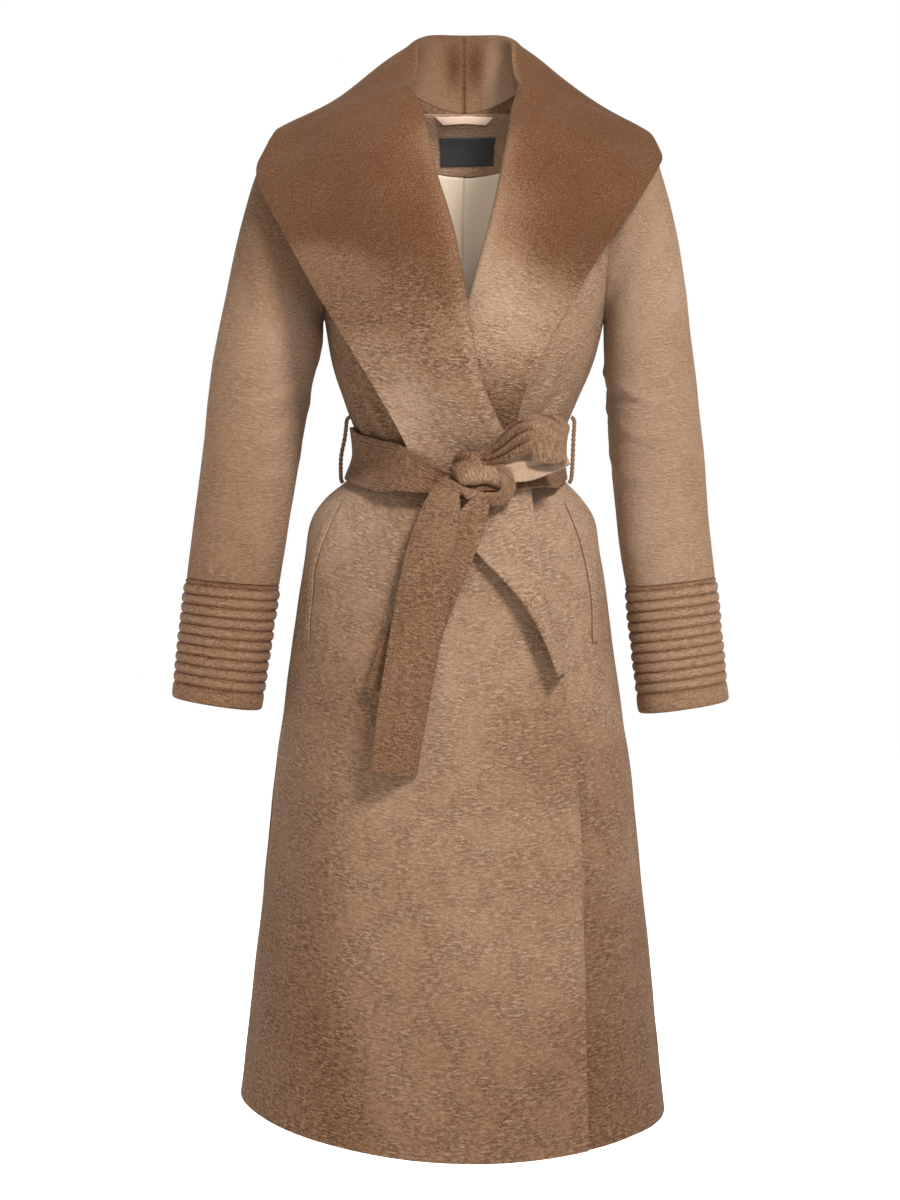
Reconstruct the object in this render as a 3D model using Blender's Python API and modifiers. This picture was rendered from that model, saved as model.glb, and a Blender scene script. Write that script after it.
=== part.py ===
"""Wool wrap coat with a wide shawl collar, ribbed cuffs and its own tied belt, in the form it has when worn.

Metres, +Z up. The front faces -Y and +X is the wearer's left. The origin lies midway between the shoulder
seams at the neck, where the wearer's shoulders carry the coat. Sizes in the tables are millimetres.

The coat is dressed from the inside out: back, sleeves and left front first, then the left collar, the right
front over it, the right collar, and last the belt. Each later layer is laid over the earlier ones.
"""

import math

import bmesh
import bpy
import numpy as np
from mathutils import Vector
from mathutils.bvhtree import BVHTree

MM = 0.001
SEAM = 0.4 * MM  # gap between two pieces along a seam
CLOTH = 2.5 * MM  # wall of the body and the sleeves
DOUBLE = 3.0 * MM  # collar and belt, two layers sewn together
SATIN = 1.2 * MM  # lining, label and hanger
AIR = 1.8 * MM  # least gap between two large layers that lie on each other
LAID = 0.45 * MM  # least gap under a narrow piece: a belt's end or a welt
REACH = 70 * MM  # how far a layer looks for others under it

# --- Body: rings from the neck down to the hem -----------------------------------------------------------
# half_x: half width; mid_x: centre; front_y, back_y: depth; side_z, front_z, back_z: height of the ring;
# tilt: how much higher its left end lies.
# Columns: half_x, mid_x, front_y, back_y, side_z, front_z, back_z, tilt.
BODY = (
    (65.0, 5, -59, 58.5, 8, -44, -12, 0),  # neck seam
    (66.5, 5, -61, 60.5, -1, -54, -21, 0),
    (105.0, 6, -92, 81, -14, -88, -47, 0),
    (148.0, 6, -112, 97, -31, -127, -86, 0),
    (182.0, 5, -122, 107, -52, -165, -125, 0),  # shoulder point
    (177.5, 5, -129, 110, -110, -200, -165, 0),
    (164.0, 5, -133, 109, -180, -236, -205, 0),
    (153.0, 4.5, -133, 106, -240, -268, -250, 0),  # underarm
    (142.0, 3, -127, 100, -290, -300, -295, 0),
    (125.5, 1, -114, 92, -335, -340, -335, 0),
    (112.0, 0, -103, 86, -374, -380, -374, 0),  # waist
    (110.5, -2.5, -101, 85, -404, -412, -404, 0),
    (118.0, -4, -104, 88, -420, -429, -420, 0),
    (140.0, -7, -115, 101, -441, -451, -441, 0),
    (155.0, -7.5, -127, 115, -466, -477, -466, 0),
    (161.5, -8, -134, 124, -506, -517, -506, 0),
    (170.0, -8.5, -143, 134, -560, -572, -560, 0),  # hip
    (180.0, -8.5, -153, 142, -640, -653, -640, 0),
    (193.5, -8, -164, 150, -735, -749, -735, 0),
    (206.0, -8, -174, 158, -850, -866, -850, -1),
    (218.0, -8, -184, 166, -965, -983, -965, -3),
    (233.5, -8, -196, 176, -1104, -1129, -1104, -9),  # hem
)
SQUARE = 0.035  # how much a ring fills out towards its corners
DIP = 2.6  # how sharply a ring's height changes towards its front and back
# Large folds. Columns: angle at the lower and the upper end, half width in degrees, ring at the lower and
# the upper end, height.
FOLDS = (
    (-58, -70, 7, 10.2, 7.4, 4.0),
    (-40, -50, 6, 10.2, 7.8, 3.5),
    (50, 62, 7, 10.2, 7.6, 3.0),
    (150, 146, 8, 10.2, 7.2, 4.0),
    (-150, -146, 8, 10.2, 7.2, 4.0),
    (158, 160, 12, 21.5, 12.2, 7.0),
    (-160, -158, 12, 21.5, 12.2, 7.0),
    (-55, -48, 9, 15.6, 12.2, 4.0),
    (44, 40, 8, 15.0, 12.2, 4.0),
    (-118, -112, 12, 21.5, 13.5, 5.0),
    (118, 112, 12, 21.5, 13.5, 5.0),
)

# --- Sleeves: sections from the armhole down to the cuff seam ---------------------------------------------
# Columns: out_x, out_z, in_x, in_z (the outer and the inner point of the oval), half_y, mid_y.
SLEEVE_RIGHT = (
    (-163, -52, -138, -220, 58, 2),
    (-180, -45, -145, -234, 62, 2),
    (-201, -44, -149, -241, 66, 1),
    (-221, -86, -151.5, -250, 67, 1),
    (-236, -134, -151.5, -267, 67, 0),
    (-251.5, -200, -156, -288, 66, 0),
    (-265, -266, -161.5, -309, 64, 1),
    (-275, -332, -169, -346, 61, 3),
    (-282.5, -398, -179, -406, 57, 4),
    (-291.5, -468, -190.5, -477, 53, 1),
    (-299, -527, -200.5, -535.5, 50, -4),
)
SLEEVE_LEFT = (
    (168, -52, 143, -220, 58, 2),
    (184, -46, 150, -234, 62, 2),
    (203, -47, 154.5, -241, 66, 1),
    (219.5, -88, 158.5, -250, 67, 1),
    (232, -134, 158.5, -267, 67, 0),
    (245, -200, 159, -288, 66, 0),
    (252, -266, 160.5, -312, 64, 1),
    (260, -332, 163.5, -350, 61, 3),
    (267, -398, 168.5, -409, 57, 4),
    (273.5, -468, 175.5, -480, 53, 1),
    (278.5, -526, 183.5, -537, 50, -4),
)
CUFF_LOW_RIGHT = (-313.5, -657, -221, -671.5, 47, -12)  # the section at a cuff's hem
CUFF_LOW_LEFT = (292, -661, 199, -675, 47, -12)
CUFF_ROUND = 16  # sides of a cuff
SLEEVE_ROUND = 20  # sides of a sleeve
SLEEVE_ROWS = (0, 0.5, 1, 1.6, 2.2, 2.8, 3.5, 4.3, 5.2, 6, 7, 8, 9, 10)  # its rings, as rows of its table
ARMHOLE_ROW = 2.8  # the ring up to which a sleeve opens the armhole
RIB_COUNT = 10
RIB_PITCH = 11.0 * MM
RIB_HEIGHT = 2.6 * MM
CUFF_HEM = 16 * MM  # plain band under the last rib
CUFF_TOP = 5 * MM  # plain band above the first rib

# --- Collar: sections from the centre back round the neck and down the front ------------------------------
# Up to the shoulder the roll line is given in space, over a point of the neck ring at `ring_angle`.
# From there down it follows the front edge, and roll_x, roll_z give it as seen from the front.
# Columns: ring_angle, roll_x, roll_y, roll_z, edge_x, edge_y, edge_z, puff.
NECK_RIGHT = (
    (180, 5, 70, 75.5, 5, 123, -110, 8),
    (210, -22, 64, 75, -78, 117, -107, 12),
    (240, -42, 44, 69, -142, 86, -83, 12),
    (270, -51, 14, 54, -177, 20, -40, 5),
    (284, -51, -11, 25, -193, -18, -53, 3),
)
NECK_LEFT = (
    (180, 5, 70, 75.5, 5, 123, -110, 8),
    (150, 34, 64, 75, 88, 117, -104, 12),
    (120, 54, 44, 69, 150, 86, -81, 12),
    (90, 62, 14, 54, 183, 20, -42, 4),
    (76, 62, -11, 25, 199, -11, -57, 2),
)
# Columns of a lapel: roll_x, roll_z, edge_x, edge_y, edge_z, puff.
LAPEL_RIGHT = (
    (-43, -12, -212, -37, -91, 7),  # corner
    (-37.5, -45, -208, -62, -118, 12),
    (-26, -98, -192, -86, -150, 12),
    (-9, -152, -173.5, -106, -185, 10),
    (3, -210, -154.5, -121, -218, 9),
    (11.5, -263, -130, -133, -258, 8),
    (20.5, -308, -105, -139, -299, 7),
    (33, -344, -81.5, -136, -338, 5),
    (44.5, -371, -63, -128, -371, 2),
    (59.5, -404, -45, -122, -410, 0),
    (68, -433, -31, -128, -441, 2),
    (75, -478, 1.5, -152, -491, 4),
    (83.5, -530, 36, -163, -536, 4),
    (93, -577, 68, -169, -580, 3),
    (105, -622, 98, -168, -624, 0),  # break point
)
LAPEL_LEFT = (
    (57.5, -12, 210, -33, -84, 6),  # corner
    (52, -48, 203, -54, -101, 12),
    (45, -86, 178, -80, -137, 12),
    (33.5, -140, 152.5, -100, -175, 10),
    (18, -195, 127, -116, -216, 9),
    (5, -240, 103, -127, -255, 8),
    (-8, -280, 84, -130, -290, 7),
    (-20, -312, 69, -127, -323, 5),
    (-31, -342, 60, -120, -356, 2),
    (-45, -372, 50, -113, -388, 0),
    (-58, -404, 42, -110, -414, 0),
)
EDGE_RIGHT = ((115.5, -693), (123.5, -785), (129, -960), (132, -1124))  # front edge below the lapel, x and z
EDGE_LEFT = ((-75, -470), (-90, -560), (-105, -700), (-120, -900), (-130, -1124))
ROLL_RADIUS = 5.5 * MM
NECK_RADIUS = 7.5 * MM  # roll at the centre back
SHOULDER_RADIUS = 4.2 * MM  # roll where the collar is lowest, just before the shoulder seam
TUCKED_RADIUS = 3.4 * MM  # roll of the left lapel where the right front holds it down
END_RADIUS = 3.0 * MM  # roll of the right lapel at its lower end
EDGE_LAP = 3.0 * MM  # straight stretch between a front's edge and the roll

# --- Belt -------------------------------------------------------------------------------------------------
BELT_WIDTH = 57 * MM
BELT_SIDE_Z, BELT_FRONT_Z, BELT_BACK_Z = -390 * MM, -413 * MM, -388 * MM
# Columns of a ribbon: x, y, z of its centre line, the direction across it, its width and how far its middle
# stands forward.
TAIL_LONG = (
    (-2, -149, -421, -0.72, 0.00, 0.55, 20, 2),
    (-13, -149, -444, -0.88, 0.05, 0.42, 34, 4),
    (-22, -152, -482, -0.96, 0.02, 0.26, 50, 5),
    (-30, -159, -530, -0.97, -0.06, 0.22, 55, 5),
    (-39, -167, -590, -0.95, -0.12, 0.18, 56, 5),
    (-52, -174, -650, -0.92, -0.20, 0.15, 57, 5),
    (-63, -180, -725, -0.85, -0.36, 0.05, 57, 5),
)
TAIL_SHORT = (
    (25, -149, -440, -0.45, -0.05, 0.89, 18, 1),
    (19, -149, -455, -0.60, -0.02, 0.80, 28, 2),
    (8, -148, -477, -0.84, 0.03, 0.52, 38, 2),
    (-10, -148, -512, -0.93, 0.00, 0.33, 46, 2),
    (-32, -154, -560, -0.95, -0.02, 0.28, 54, 1),
    (-52, -157, -606, -0.95, -0.06, 0.26, 56, 1),
    (-66, -158, -645, -0.94, -0.10, 0.22, 57, 1),
)
BOW_LOOP = (
    (-2, -150, -402, -0.05, 0.10, 0.99, 14, 1),
    (20, -152, -400, -0.05, 0.10, 0.99, 19, 2),
    (46, -155, -392, -0.08, 0.20, 0.97, 24, 3),
    (66, -157, -384, -0.10, 0.30, 0.95, 38, 3),
    (86, -155, -377, -0.08, 0.30, 0.95, 49, 3),
    (103, -147, -376, -0.02, 0.25, 0.97, 49, 2),
    (111, -134, -379, 0.05, 0.20, 0.98, 46, 0),
    (103, -124, -384, 0.10, 0.15, 0.98, 46, -2),
    (86, -128, -390, 0.10, 0.10, 0.99, 44, -3),
    (66, -137, -399, 0.08, 0.05, 0.99, 38, -2),
    (50, -143, -405, 0.05, 0.05, 1.00, 30, 0),
    (36, -146, -407, 0.05, 0.05, 1.00, 22, 0),
)
BOW_SEAT = 1.9 * MM  # how far the loop is pressed back against the belt
KNOT = (  # x, y, z, half height, half depth
    (0, -157.8, -416, 4, 3),
    (7, -159.8, -418, 7, 5),
    (20, -161.8, -418, 8, 7),
    (38, -161.8, -418, 8, 7),
    (49, -160.8, -419, 7, 6),
    (56, -158.8, -427, 6, 5),
    (50, -158.8, -436, 5.5, 5),
    (38, -159.8, -439, 6, 5),
    (26, -158.8, -441, 4, 3),
)
LOOP_CORD = 4.4 * MM  # thickness of a thread loop that carries the belt
LOOP_TOP_Z, LOOP_LOW_Z = -350 * MM, -425 * MM
LOOP_LEAN = {-1: 5 * MM, 1: 0}  # how much further out each loop stands at its lower end
LOOP_Y = 4 * MM  # just behind the side seam
LOOP_STAND = 8 * MM  # how far the middle of a loop stands off the middle of the belt

# --- Pockets and the inside of the back neck --------------------------------------------------------------
POCKET_RIGHT = ((-129, -447), (-148, -496), (-158.5, -550), (-161.5, -594))  # x and z seen from the front
POCKET_LEFT = ((114.5, -446), (131.5, -492), (141.5, -548), (143, -594))
WELT_WIDTH = 11 * MM
WELT = 2.0 * MM
PLEAT_HEIGHT = 3.5 * MM
LABEL_HALF_WIDTH = 31 * MM
LABEL_RINGS = (1.4, 2.4)
HANGER_HALF_ANGLE = 28
HANGER_DROP = 0.35  # how many rings the hanger hangs under the seam
HANGER_STAND = 2.4 * MM  # and how far off the facing
SEAM_RING = 0.12  # the middle of the back neck seam
INSIDE_ANGLES = (130, 230)  # how far round the back the facing and the lining reach
FACING = 1.6 * MM

# --- Mesh sizes -------------------------------------------------------------------------------------------
NECK_STEPS = 8  # stations of the collar from the centre back to the shoulder seam
SHOULDER_STEPS = 4  # from there to the front edge
LAPEL_STEPS = 2  # stations for each row of a lapel's table
NECK_CORNER_STEPS = (0.12, 0.28)  # more of them close to the neck
FALL_POINTS = 7
BACK_RINGS = (
    (0, 0.5, 1, 1.4, 1.9, 2.4, 2.8, 3.4, 4, 4.6, 5.3, 6, 6.8, 7.6)
    + (8.4, 9.2, 10, 10.6, 11.3, 12, 12.7, 13.5, 14.5, 15.7, 17.2, 19, 21)
)
FACING_LOW_RING = 2.8  # ring at which the neck facing ends and the lining starts
LINING_LOW_RING = 9.2
FRONT_COLUMNS = 12
LOWER_STEPS = {-1: 8, 1: 9}  # rows of each front below its lapel
HELD_COLUMNS = 4  # columns over which a front rises from its side seam
BELT_ROUND = 44

MATERIALS = {  # colour, roughness
    "wool": ((0.33, 0.195, 0.125, 1), 0.92),
    "wool_collar": ((0.27, 0.15, 0.092, 1), 0.92),
    "wool_rib": ((0.30, 0.175, 0.11, 1), 0.92),
    "wool_belt": ((0.25, 0.14, 0.088, 1), 0.92),
    "satin_lining": ((0.50, 0.40, 0.29, 1), 0.45),
    "satin_trim": ((0.62, 0.46, 0.36, 1), 0.4),
    "label_black": ((0.022, 0.022, 0.024, 1), 0.5),
}


# --- Curves and surfaces ----------------------------------------------------------------------------------
def through(rows, at):
    """A smooth curve through the rows of a table, read at row positions such as 2.5. It never overshoots."""
    rows = np.asarray(rows, float)
    last = len(rows) - 1
    at = np.clip(np.atleast_1d(np.asarray(at, float)), 0, last)
    low = np.minimum(at.astype(int), last - 1)
    share = (at - low)[..., None]
    step = np.diff(rows, axis=0)
    slope = np.concatenate([step[:1], (step[:-1] + step[1:]) / 2, step[-1:]])
    steepest = 3 * np.minimum(np.abs(step[:-1]), np.abs(step[1:])) * (step[:-1] * step[1:] > 0)
    slope[1:-1] = np.clip(slope[1:-1], -steepest, steepest)
    start, end, here = slope[low], slope[low + 1], step[low]
    bend = 3 * here - 2 * start - end
    return rows[low] + share * (start + share * (bend + share * (start + end - 2 * here)))


def unit(vectors):
    return vectors / np.maximum(np.linalg.norm(vectors, axis=-1, keepdims=True), 1e-9)


def grid_normals(points, closed=False):
    """The unit normal at each point of a grid, to the left of its rows seen along its columns."""
    if closed:
        wide = np.concatenate([points[:, -1:], points, points[:, :1]], axis=1)
        across = (wide[:, 2:] - wide[:, :-2]) / 2
    else:
        across = np.gradient(points, axis=1)
    return unit(np.cross(across, np.gradient(points, axis=0)))


def fold_lift(angle, ring):
    """How far the largest folds raise the body at these angles and rings."""
    lift = np.zeros(np.broadcast(angle, ring).shape)
    for angle_low, angle_high, spread, ring_low, ring_high, height in FOLDS:
        along = np.clip((ring - ring_low) / (ring_high - ring_low), 0, 1)
        centre = angle_low + (angle_high - angle_low) * along
        away = (angle - centre + 180) % 360 - 180
        fade = np.clip(1.2 * (1 - along), 0, 1) * np.clip((ring_low - ring) * 2.5 + 0.2, 0, 1)
        lift = lift + height * MM * np.exp(-((away / spread) ** 2)) * fade
    return lift


def body_place(angle, ring):
    """Points of the body's middle surface, with no fold. Angle 0 is the centre front, 90 the left side."""
    angle, ring = np.broadcast_arrays(np.asarray(angle, float), np.asarray(ring, float))
    sizes = through(BODY, ring.ravel()).reshape(ring.shape + (8,)) * MM
    half_x, mid_x, front_y, back_y, side_z, front_z, back_z, tilt = np.moveaxis(sizes, -1, 0)
    turn = np.radians(angle)
    sine, cosine = np.sin(turn), np.cos(turn)
    full = 1 + SQUARE * np.sin(2 * turn) ** 2
    facing = np.abs(cosine) ** DIP
    x = mid_x + half_x * sine * full
    y = np.where(cosine > 0, front_y, back_y) * np.abs(cosine) * full
    z = side_z + (np.where(cosine > 0, front_z, back_z) - side_z) * facing + tilt * sine
    return np.stack([x, y, z], axis=-1)


def body_normal(angle, ring):
    step = 0.01
    turned = body_place(angle + 1.0, ring) - body_place(angle - 1.0, ring)
    lower = np.minimum(ring + step, len(BODY) - 1)
    upper = np.maximum(ring - step, 0)
    return unit(np.cross(body_place(angle, lower) - body_place(angle, upper), turned))


def body_points(angle, ring, lift=0.0):
    """Points of the body's middle surface, moved out by lift and by its folds."""
    angle, ring = np.broadcast_arrays(np.asarray(angle, float), np.asarray(ring, float))
    out = np.asarray(lift) + fold_lift(angle, ring)
    return body_place(angle, ring) + body_normal(angle, ring) * np.broadcast_to(out, angle.shape)[..., None]


def locate(x, z):
    """The angles and rings of the front at which the body is seen at x, z from the front."""
    x, z = np.asarray(x, float), np.asarray(z, float)
    angle = np.zeros(x.shape)
    for _ in range(30):
        facing = np.abs(np.cos(np.radians(angle))) ** DIP
        low, high = np.zeros(x.shape), np.full(x.shape, len(BODY) - 1.0)
        for _ in range(24):
            ring = (low + high) / 2
            half_x, mid_x, _, _, side_z, front_z, _, tilt = (through(BODY, ring) * MM).T
            above = side_z + (front_z - side_z) * facing + tilt * np.sin(np.radians(angle)) > z
            low, high = np.where(above, ring, low), np.where(above, high, ring)
        full = 1 + SQUARE * np.sin(np.radians(2 * angle)) ** 2
        sine = np.clip((x - mid_x) / (half_x * full), -0.999, 0.999)
        angle += 0.6 * (np.degrees(np.arcsin(sine)) - angle)
    return angle, ring


def tree(points, closed=False):
    """A search tree of a grid of points."""
    rows, columns = points.shape[:2]
    across = columns if closed else columns - 1
    faces = [
        (
            r * columns + c,
            r * columns + (c + 1) % columns,
            (r + 1) * columns + (c + 1) % columns,
            (r + 1) * columns + c,
        )
        for r in range(rows - 1)
        for c in range(across)
    ]
    return BVHTree.FromPolygons([tuple(p) for p in points.reshape(-1, 3)], faces)


def halfway(grid):
    """The grid with a point added halfway between each two."""
    rows = np.repeat(grid, 2, axis=0)[:-1]
    rows[1::2] = (grid[:-1] + grid[1:]) / 2
    both = np.repeat(rows, 2, axis=1)[:, :-1]
    both[:, 1::2] = (rows[:, :-1] + rows[:, 1:]) / 2
    return both


def highest_near(values):
    """The highest value at each place of a grid and the eight around it."""
    padded = np.pad(values, 1, mode="edge")
    rows, columns = values.shape
    return np.max([padded[r : r + rows, c : c + columns] for r in range(3) for c in range(3)], axis=0)


def lift_over(points, out, below, half_wall, air=AIR):
    """How far each point of a grid has to move out to lie clear over the layers below it.

    Each layer below is a pair: its search tree and half the thickness of its wall.
    """
    points, out = halfway(points), unit(halfway(out))
    need = np.zeros(points.shape[:2])
    for index in np.ndindex(need.shape):
        start = Vector(points[index]) + Vector(out[index]) * REACH
        for surface, its_half_wall in below:
            hit = surface.ray_cast(start, -Vector(out[index]), 1.4 * REACH)
            if hit[0] is not None:
                height = REACH - hit[3]
                need[index] = max(need[index], height + its_half_wall + half_wall + air)
    return highest_near(need)[::2, ::2]


def spread_out(need, passes):
    """The same lifts with their neighbours raised towards them, so that the cloth rises gradually."""
    need = highest_near(need)
    lift = need.copy()
    for _ in range(passes):
        padded = np.pad(lift, 1, mode="edge")
        mean = (padded[:-2, 1:-1] + padded[2:, 1:-1] + padded[1:-1, :-2] + padded[1:-1, 2:]) / 4
        lift = np.maximum(need, mean)
    return lift


# --- Objects ----------------------------------------------------------------------------------------------
def material(name):
    found = bpy.data.materials.get(name)
    if found:
        return found
    colour, roughness = MATERIALS[name]
    made = bpy.data.materials.new(name)
    made.use_nodes = True
    shader = made.node_tree.nodes["Principled BSDF"]
    shader.inputs["Base Color"].default_value = colour
    shader.inputs["Roughness"].default_value = roughness
    made.diffuse_color = colour
    return made


def add_object(name, bm, finish, collection):
    bmesh.ops.recalc_face_normals(bm, faces=bm.faces)
    mesh = bpy.data.meshes.new(name)
    bm.to_mesh(mesh)
    bm.free()
    obj = bpy.data.objects.new(name, mesh)
    obj.data.materials.append(material(finish))
    obj.data.shade_smooth()
    collection.objects.link(obj)
    return obj


def grid_mesh(points, closed_across=False, closed_along=False):
    """A grid of faces through the points, joined up where it is closed."""
    if closed_across:
        points = np.concatenate([points, points[:, :1]], axis=1)
    if closed_along:
        points = np.concatenate([points, points[:1]], axis=0)
    rows, columns = points.shape[:2]
    bm = bmesh.new()
    bmesh.ops.create_grid(bm, x_segments=columns - 1, y_segments=rows - 1, size=1.0)
    for vertex in bm.verts:
        column = round((vertex.co.x + 1) / 2 * (columns - 1))
        row = round((vertex.co.y + 1) / 2 * (rows - 1))
        vertex.co = points[row, column]
    if closed_across or closed_along:
        bmesh.ops.remove_doubles(bm, verts=bm.verts, dist=0.01 * MM)
    return bm


def wall(name, points, thickness, finish, collection, closed=False):
    """A sheet of cloth of that thickness, around a grid of points of its middle surface."""
    obj = add_object(name, grid_mesh(points, closed_across=closed), finish, collection)
    solidify = obj.modifiers.new("thickness", "SOLIDIFY")
    solidify.thickness = thickness
    solidify.offset = 0
    return obj


# --- Body -------------------------------------------------------------------------------------------------
class FrontEdge:
    """The seam between one half of the collar and the body, and on to the hem.

    It runs from the centre back round the neck seam, down the front beside the roll line and to the hem.
    """

    def __init__(self, neck, lapel, lower, side):
        self.side = side  # -1 right, 1 left
        roll = np.array([row[:2] for row in lapel], float) * MM
        along = unit(np.gradient(roll, axis=0))
        away = np.stack([along[:, 1], -along[:, 0]], axis=-1) * side
        inset = np.full(len(lapel), ROLL_RADIUS + EDGE_LAP)
        inset[-1] = 2 * MM if side < 0 else inset[-1]
        edge = roll - away * inset[:, None]
        start = body_place(62.0 * side, 0.0)
        edge[0] = start[[0, 2]]
        # The edge below the neck, as x and z.
        self.seen = np.concatenate([edge, np.array(lower, float) * MM])
        self.neck = [180.0 * side] + [(row[0] + 180) % 360 - 180 for row in neck[1:]] + [62.0 * side]
        self.first = len(neck)
        end = self.first + len(lapel) - 1
        self.neck_stations = np.concatenate(
            [np.linspace(0, 3, NECK_STEPS + 1), np.linspace(3, self.first, SHOULDER_STEPS + 1)[1:]]
        )
        evenly = np.linspace(self.first, end, (len(lapel) - 1) * LAPEL_STEPS + 1)[1:]
        self.lapel_stations = np.concatenate([self.first + np.array(NECK_CORNER_STEPS), evenly])
        self.lower_stations = np.linspace(end, end + len(lower), LOWER_STEPS[side] + 1)[1:]
        self.collar_stations = np.concatenate([self.neck_stations, self.lapel_stations])

    def at(self, station):
        """Angle and ring at each station."""
        station = np.asarray(station, float)
        x, z = through(self.seen, station - self.first).T
        angle, ring = locate(x, z)
        ring[station > self.first + len(self.seen) - 1.01] = len(BODY) - 1
        on_neck = station <= self.first
        angle = np.where(on_neck, np.interp(station, np.arange(len(self.neck)), self.neck), angle)
        return angle, np.where(on_neck, 0.0, ring)

    def front_rows(self):
        """Angle of the edge and ring at each row of the front, from the neck to the hem."""
        stations = np.concatenate([[self.first], self.lapel_stations, self.lower_stations])
        return self.at(stations)


def seam_angle(ring):
    """Half the gap of a side seam, as an angle."""
    return np.degrees(SEAM / 2 / (through(BODY, ring)[:, 0] * MM))


def back_angles(left_edge, right_edge):
    """The back's columns: they meet the collar at its stations."""
    left = left_edge.at(left_edge.neck_stations[: NECK_STEPS + 1])[0]
    right = right_edge.at(right_edge.neck_stations[: NECK_STEPS + 1])[0] + 360
    return np.concatenate([left[::-1], right[1:]])


def back_grid(angles):
    rings = np.array(BACK_RINGS, float)
    angle = np.broadcast_to(angles, (len(rings), len(angles))).copy()
    angle[:, 0] += seam_angle(rings)
    angle[:, -1] -= seam_angle(rings)
    return body_points(angle, np.broadcast_to(rings[:, None], angle.shape))


def front_grid(edge, below=()):
    """A front's middle surface, laid over what is below it, and the lift of its edge at each row."""
    end, rings = edge.front_rows()
    start = edge.side * (90 - seam_angle(rings))
    share = np.linspace(0, 1, FRONT_COLUMNS)[None, :]
    angle = start[:, None] + (end - start)[:, None] * share
    ring = np.broadcast_to(rings[:, None], angle.shape)
    lift = np.zeros(angle.shape)
    if below:
        beyond = end[:, None] - edge.side * np.array([[4.0, 8.0]])  # where the roll of the lapel will lie
        wide = np.concatenate([angle, beyond], axis=1)
        wide_ring = np.broadcast_to(rings[:, None], wide.shape)
        need = lift_over(body_points(wide, wide_ring), body_normal(wide, wide_ring), below, CLOTH / 2)
        held = np.clip(np.arange(FRONT_COLUMNS) / HELD_COLUMNS, 0, 1)[None, :]
        lift = spread_out(need, 20)[:, :FRONT_COLUMNS] * held * np.clip(ring, 0, 1)
    return body_points(angle, ring, lift), lift[:, -1]


# --- Sleeves and cuffs ------------------------------------------------------------------------------------
def sleeve_ring(row, around, grow=0.0):
    """A ring of a sleeve: an oval between its outer and its inner point."""
    out_x, out_z, in_x, in_z, half_y, mid_y = np.asarray(row) * MM
    turn = np.linspace(0, 2 * math.pi, around, endpoint=False)
    centre = np.array([(out_x + in_x) / 2, mid_y, (out_z + in_z) / 2])
    long_way = np.array([(out_x - in_x) / 2, 0, (out_z - in_z) / 2])
    half_long = np.linalg.norm(long_way)
    long_way = long_way / half_long
    wide_way = np.array([0.0, 1.0, 0.0])
    full = 1 + 0.03 * np.sin(2 * turn) ** 2
    return (
        centre
        + np.outer(np.cos(turn) * full * (half_long + grow), long_way)
        + np.outer(np.sin(turn) * full * (half_y + grow), wide_way)
    )


def sleeve_grid(table, upto=10):
    """Rings of a sleeve, from the armhole to the cuff seam."""
    rows = through(table, [row for row in SLEEVE_ROWS if row <= upto])
    return np.array([sleeve_ring(row, SLEEVE_ROUND) for row in rows])


def cuff(name, table, bottom_row, collection):
    """A ribbed cuff: ribs on its outer surface over a plain inside, from the sleeve's seam to its hem."""
    top, low = np.asarray(table[-1], float), np.asarray(bottom_row, float)
    length = np.linalg.norm((top[[0, 1]] + top[[2, 3]] - low[[0, 1]] - low[[2, 3]]) / 2) * MM
    start = (SEAM + CUFF_TOP) / length
    pitch = RIB_PITCH / length
    profile = [(SEAM / length, 0.0)]
    for rib in range(RIB_COUNT):
        profile += [(start + (rib + part) * pitch, height) for part, height in ((0, 0), (0.3, 1), (0.7, 1))]
    profile += [(start + RIB_COUNT * pitch, 0.0), (1.0, 0.0)]
    down = low - top
    outer = [sleeve_ring(top + down * at, CUFF_ROUND, CLOTH / 2 + rise * RIB_HEIGHT) for at, rise in profile]
    inner = [sleeve_ring(top + down * at, CUFF_ROUND, -CLOTH / 2) for at in (1.0, 0.5, SEAM / length)]
    bm = grid_mesh(np.array(outer + inner), closed_across=True, closed_along=True)
    return add_object(name, bm, "wool_rib", collection)


def closed_tube(rings):
    """A closed body around rings of points."""
    bm = grid_mesh(np.array(rings), closed_across=True)
    bmesh.ops.holes_fill(bm, edges=[edge for edge in bm.edges if edge.is_boundary], sides=0)
    return bm


def armhole_cutter(name, table, cutters):
    """A closed tube, a seam's width larger than the sleeve, that opens the armhole in the body."""
    rings = sleeve_grid(table, ARMHOLE_ROW)
    out = grid_normals(rings, closed=True)
    away = rings - rings.mean(axis=1, keepdims=True)
    out = np.where(np.sum(out * away, axis=-1, keepdims=True) < 0, -out, out)
    cutter = add_object(name, closed_tube(rings + out * (CLOTH / 2 + SEAM)), "wool", cutters)
    cutter.hide_render = True
    cutter.display_type = "WIRE"
    return cutter


def cut(obj, *cutters):
    for cutter in cutters:
        boolean = obj.modifiers.new(cutter.name, "BOOLEAN")
        boolean.operation = "DIFFERENCE"
        boolean.object = cutter


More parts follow.
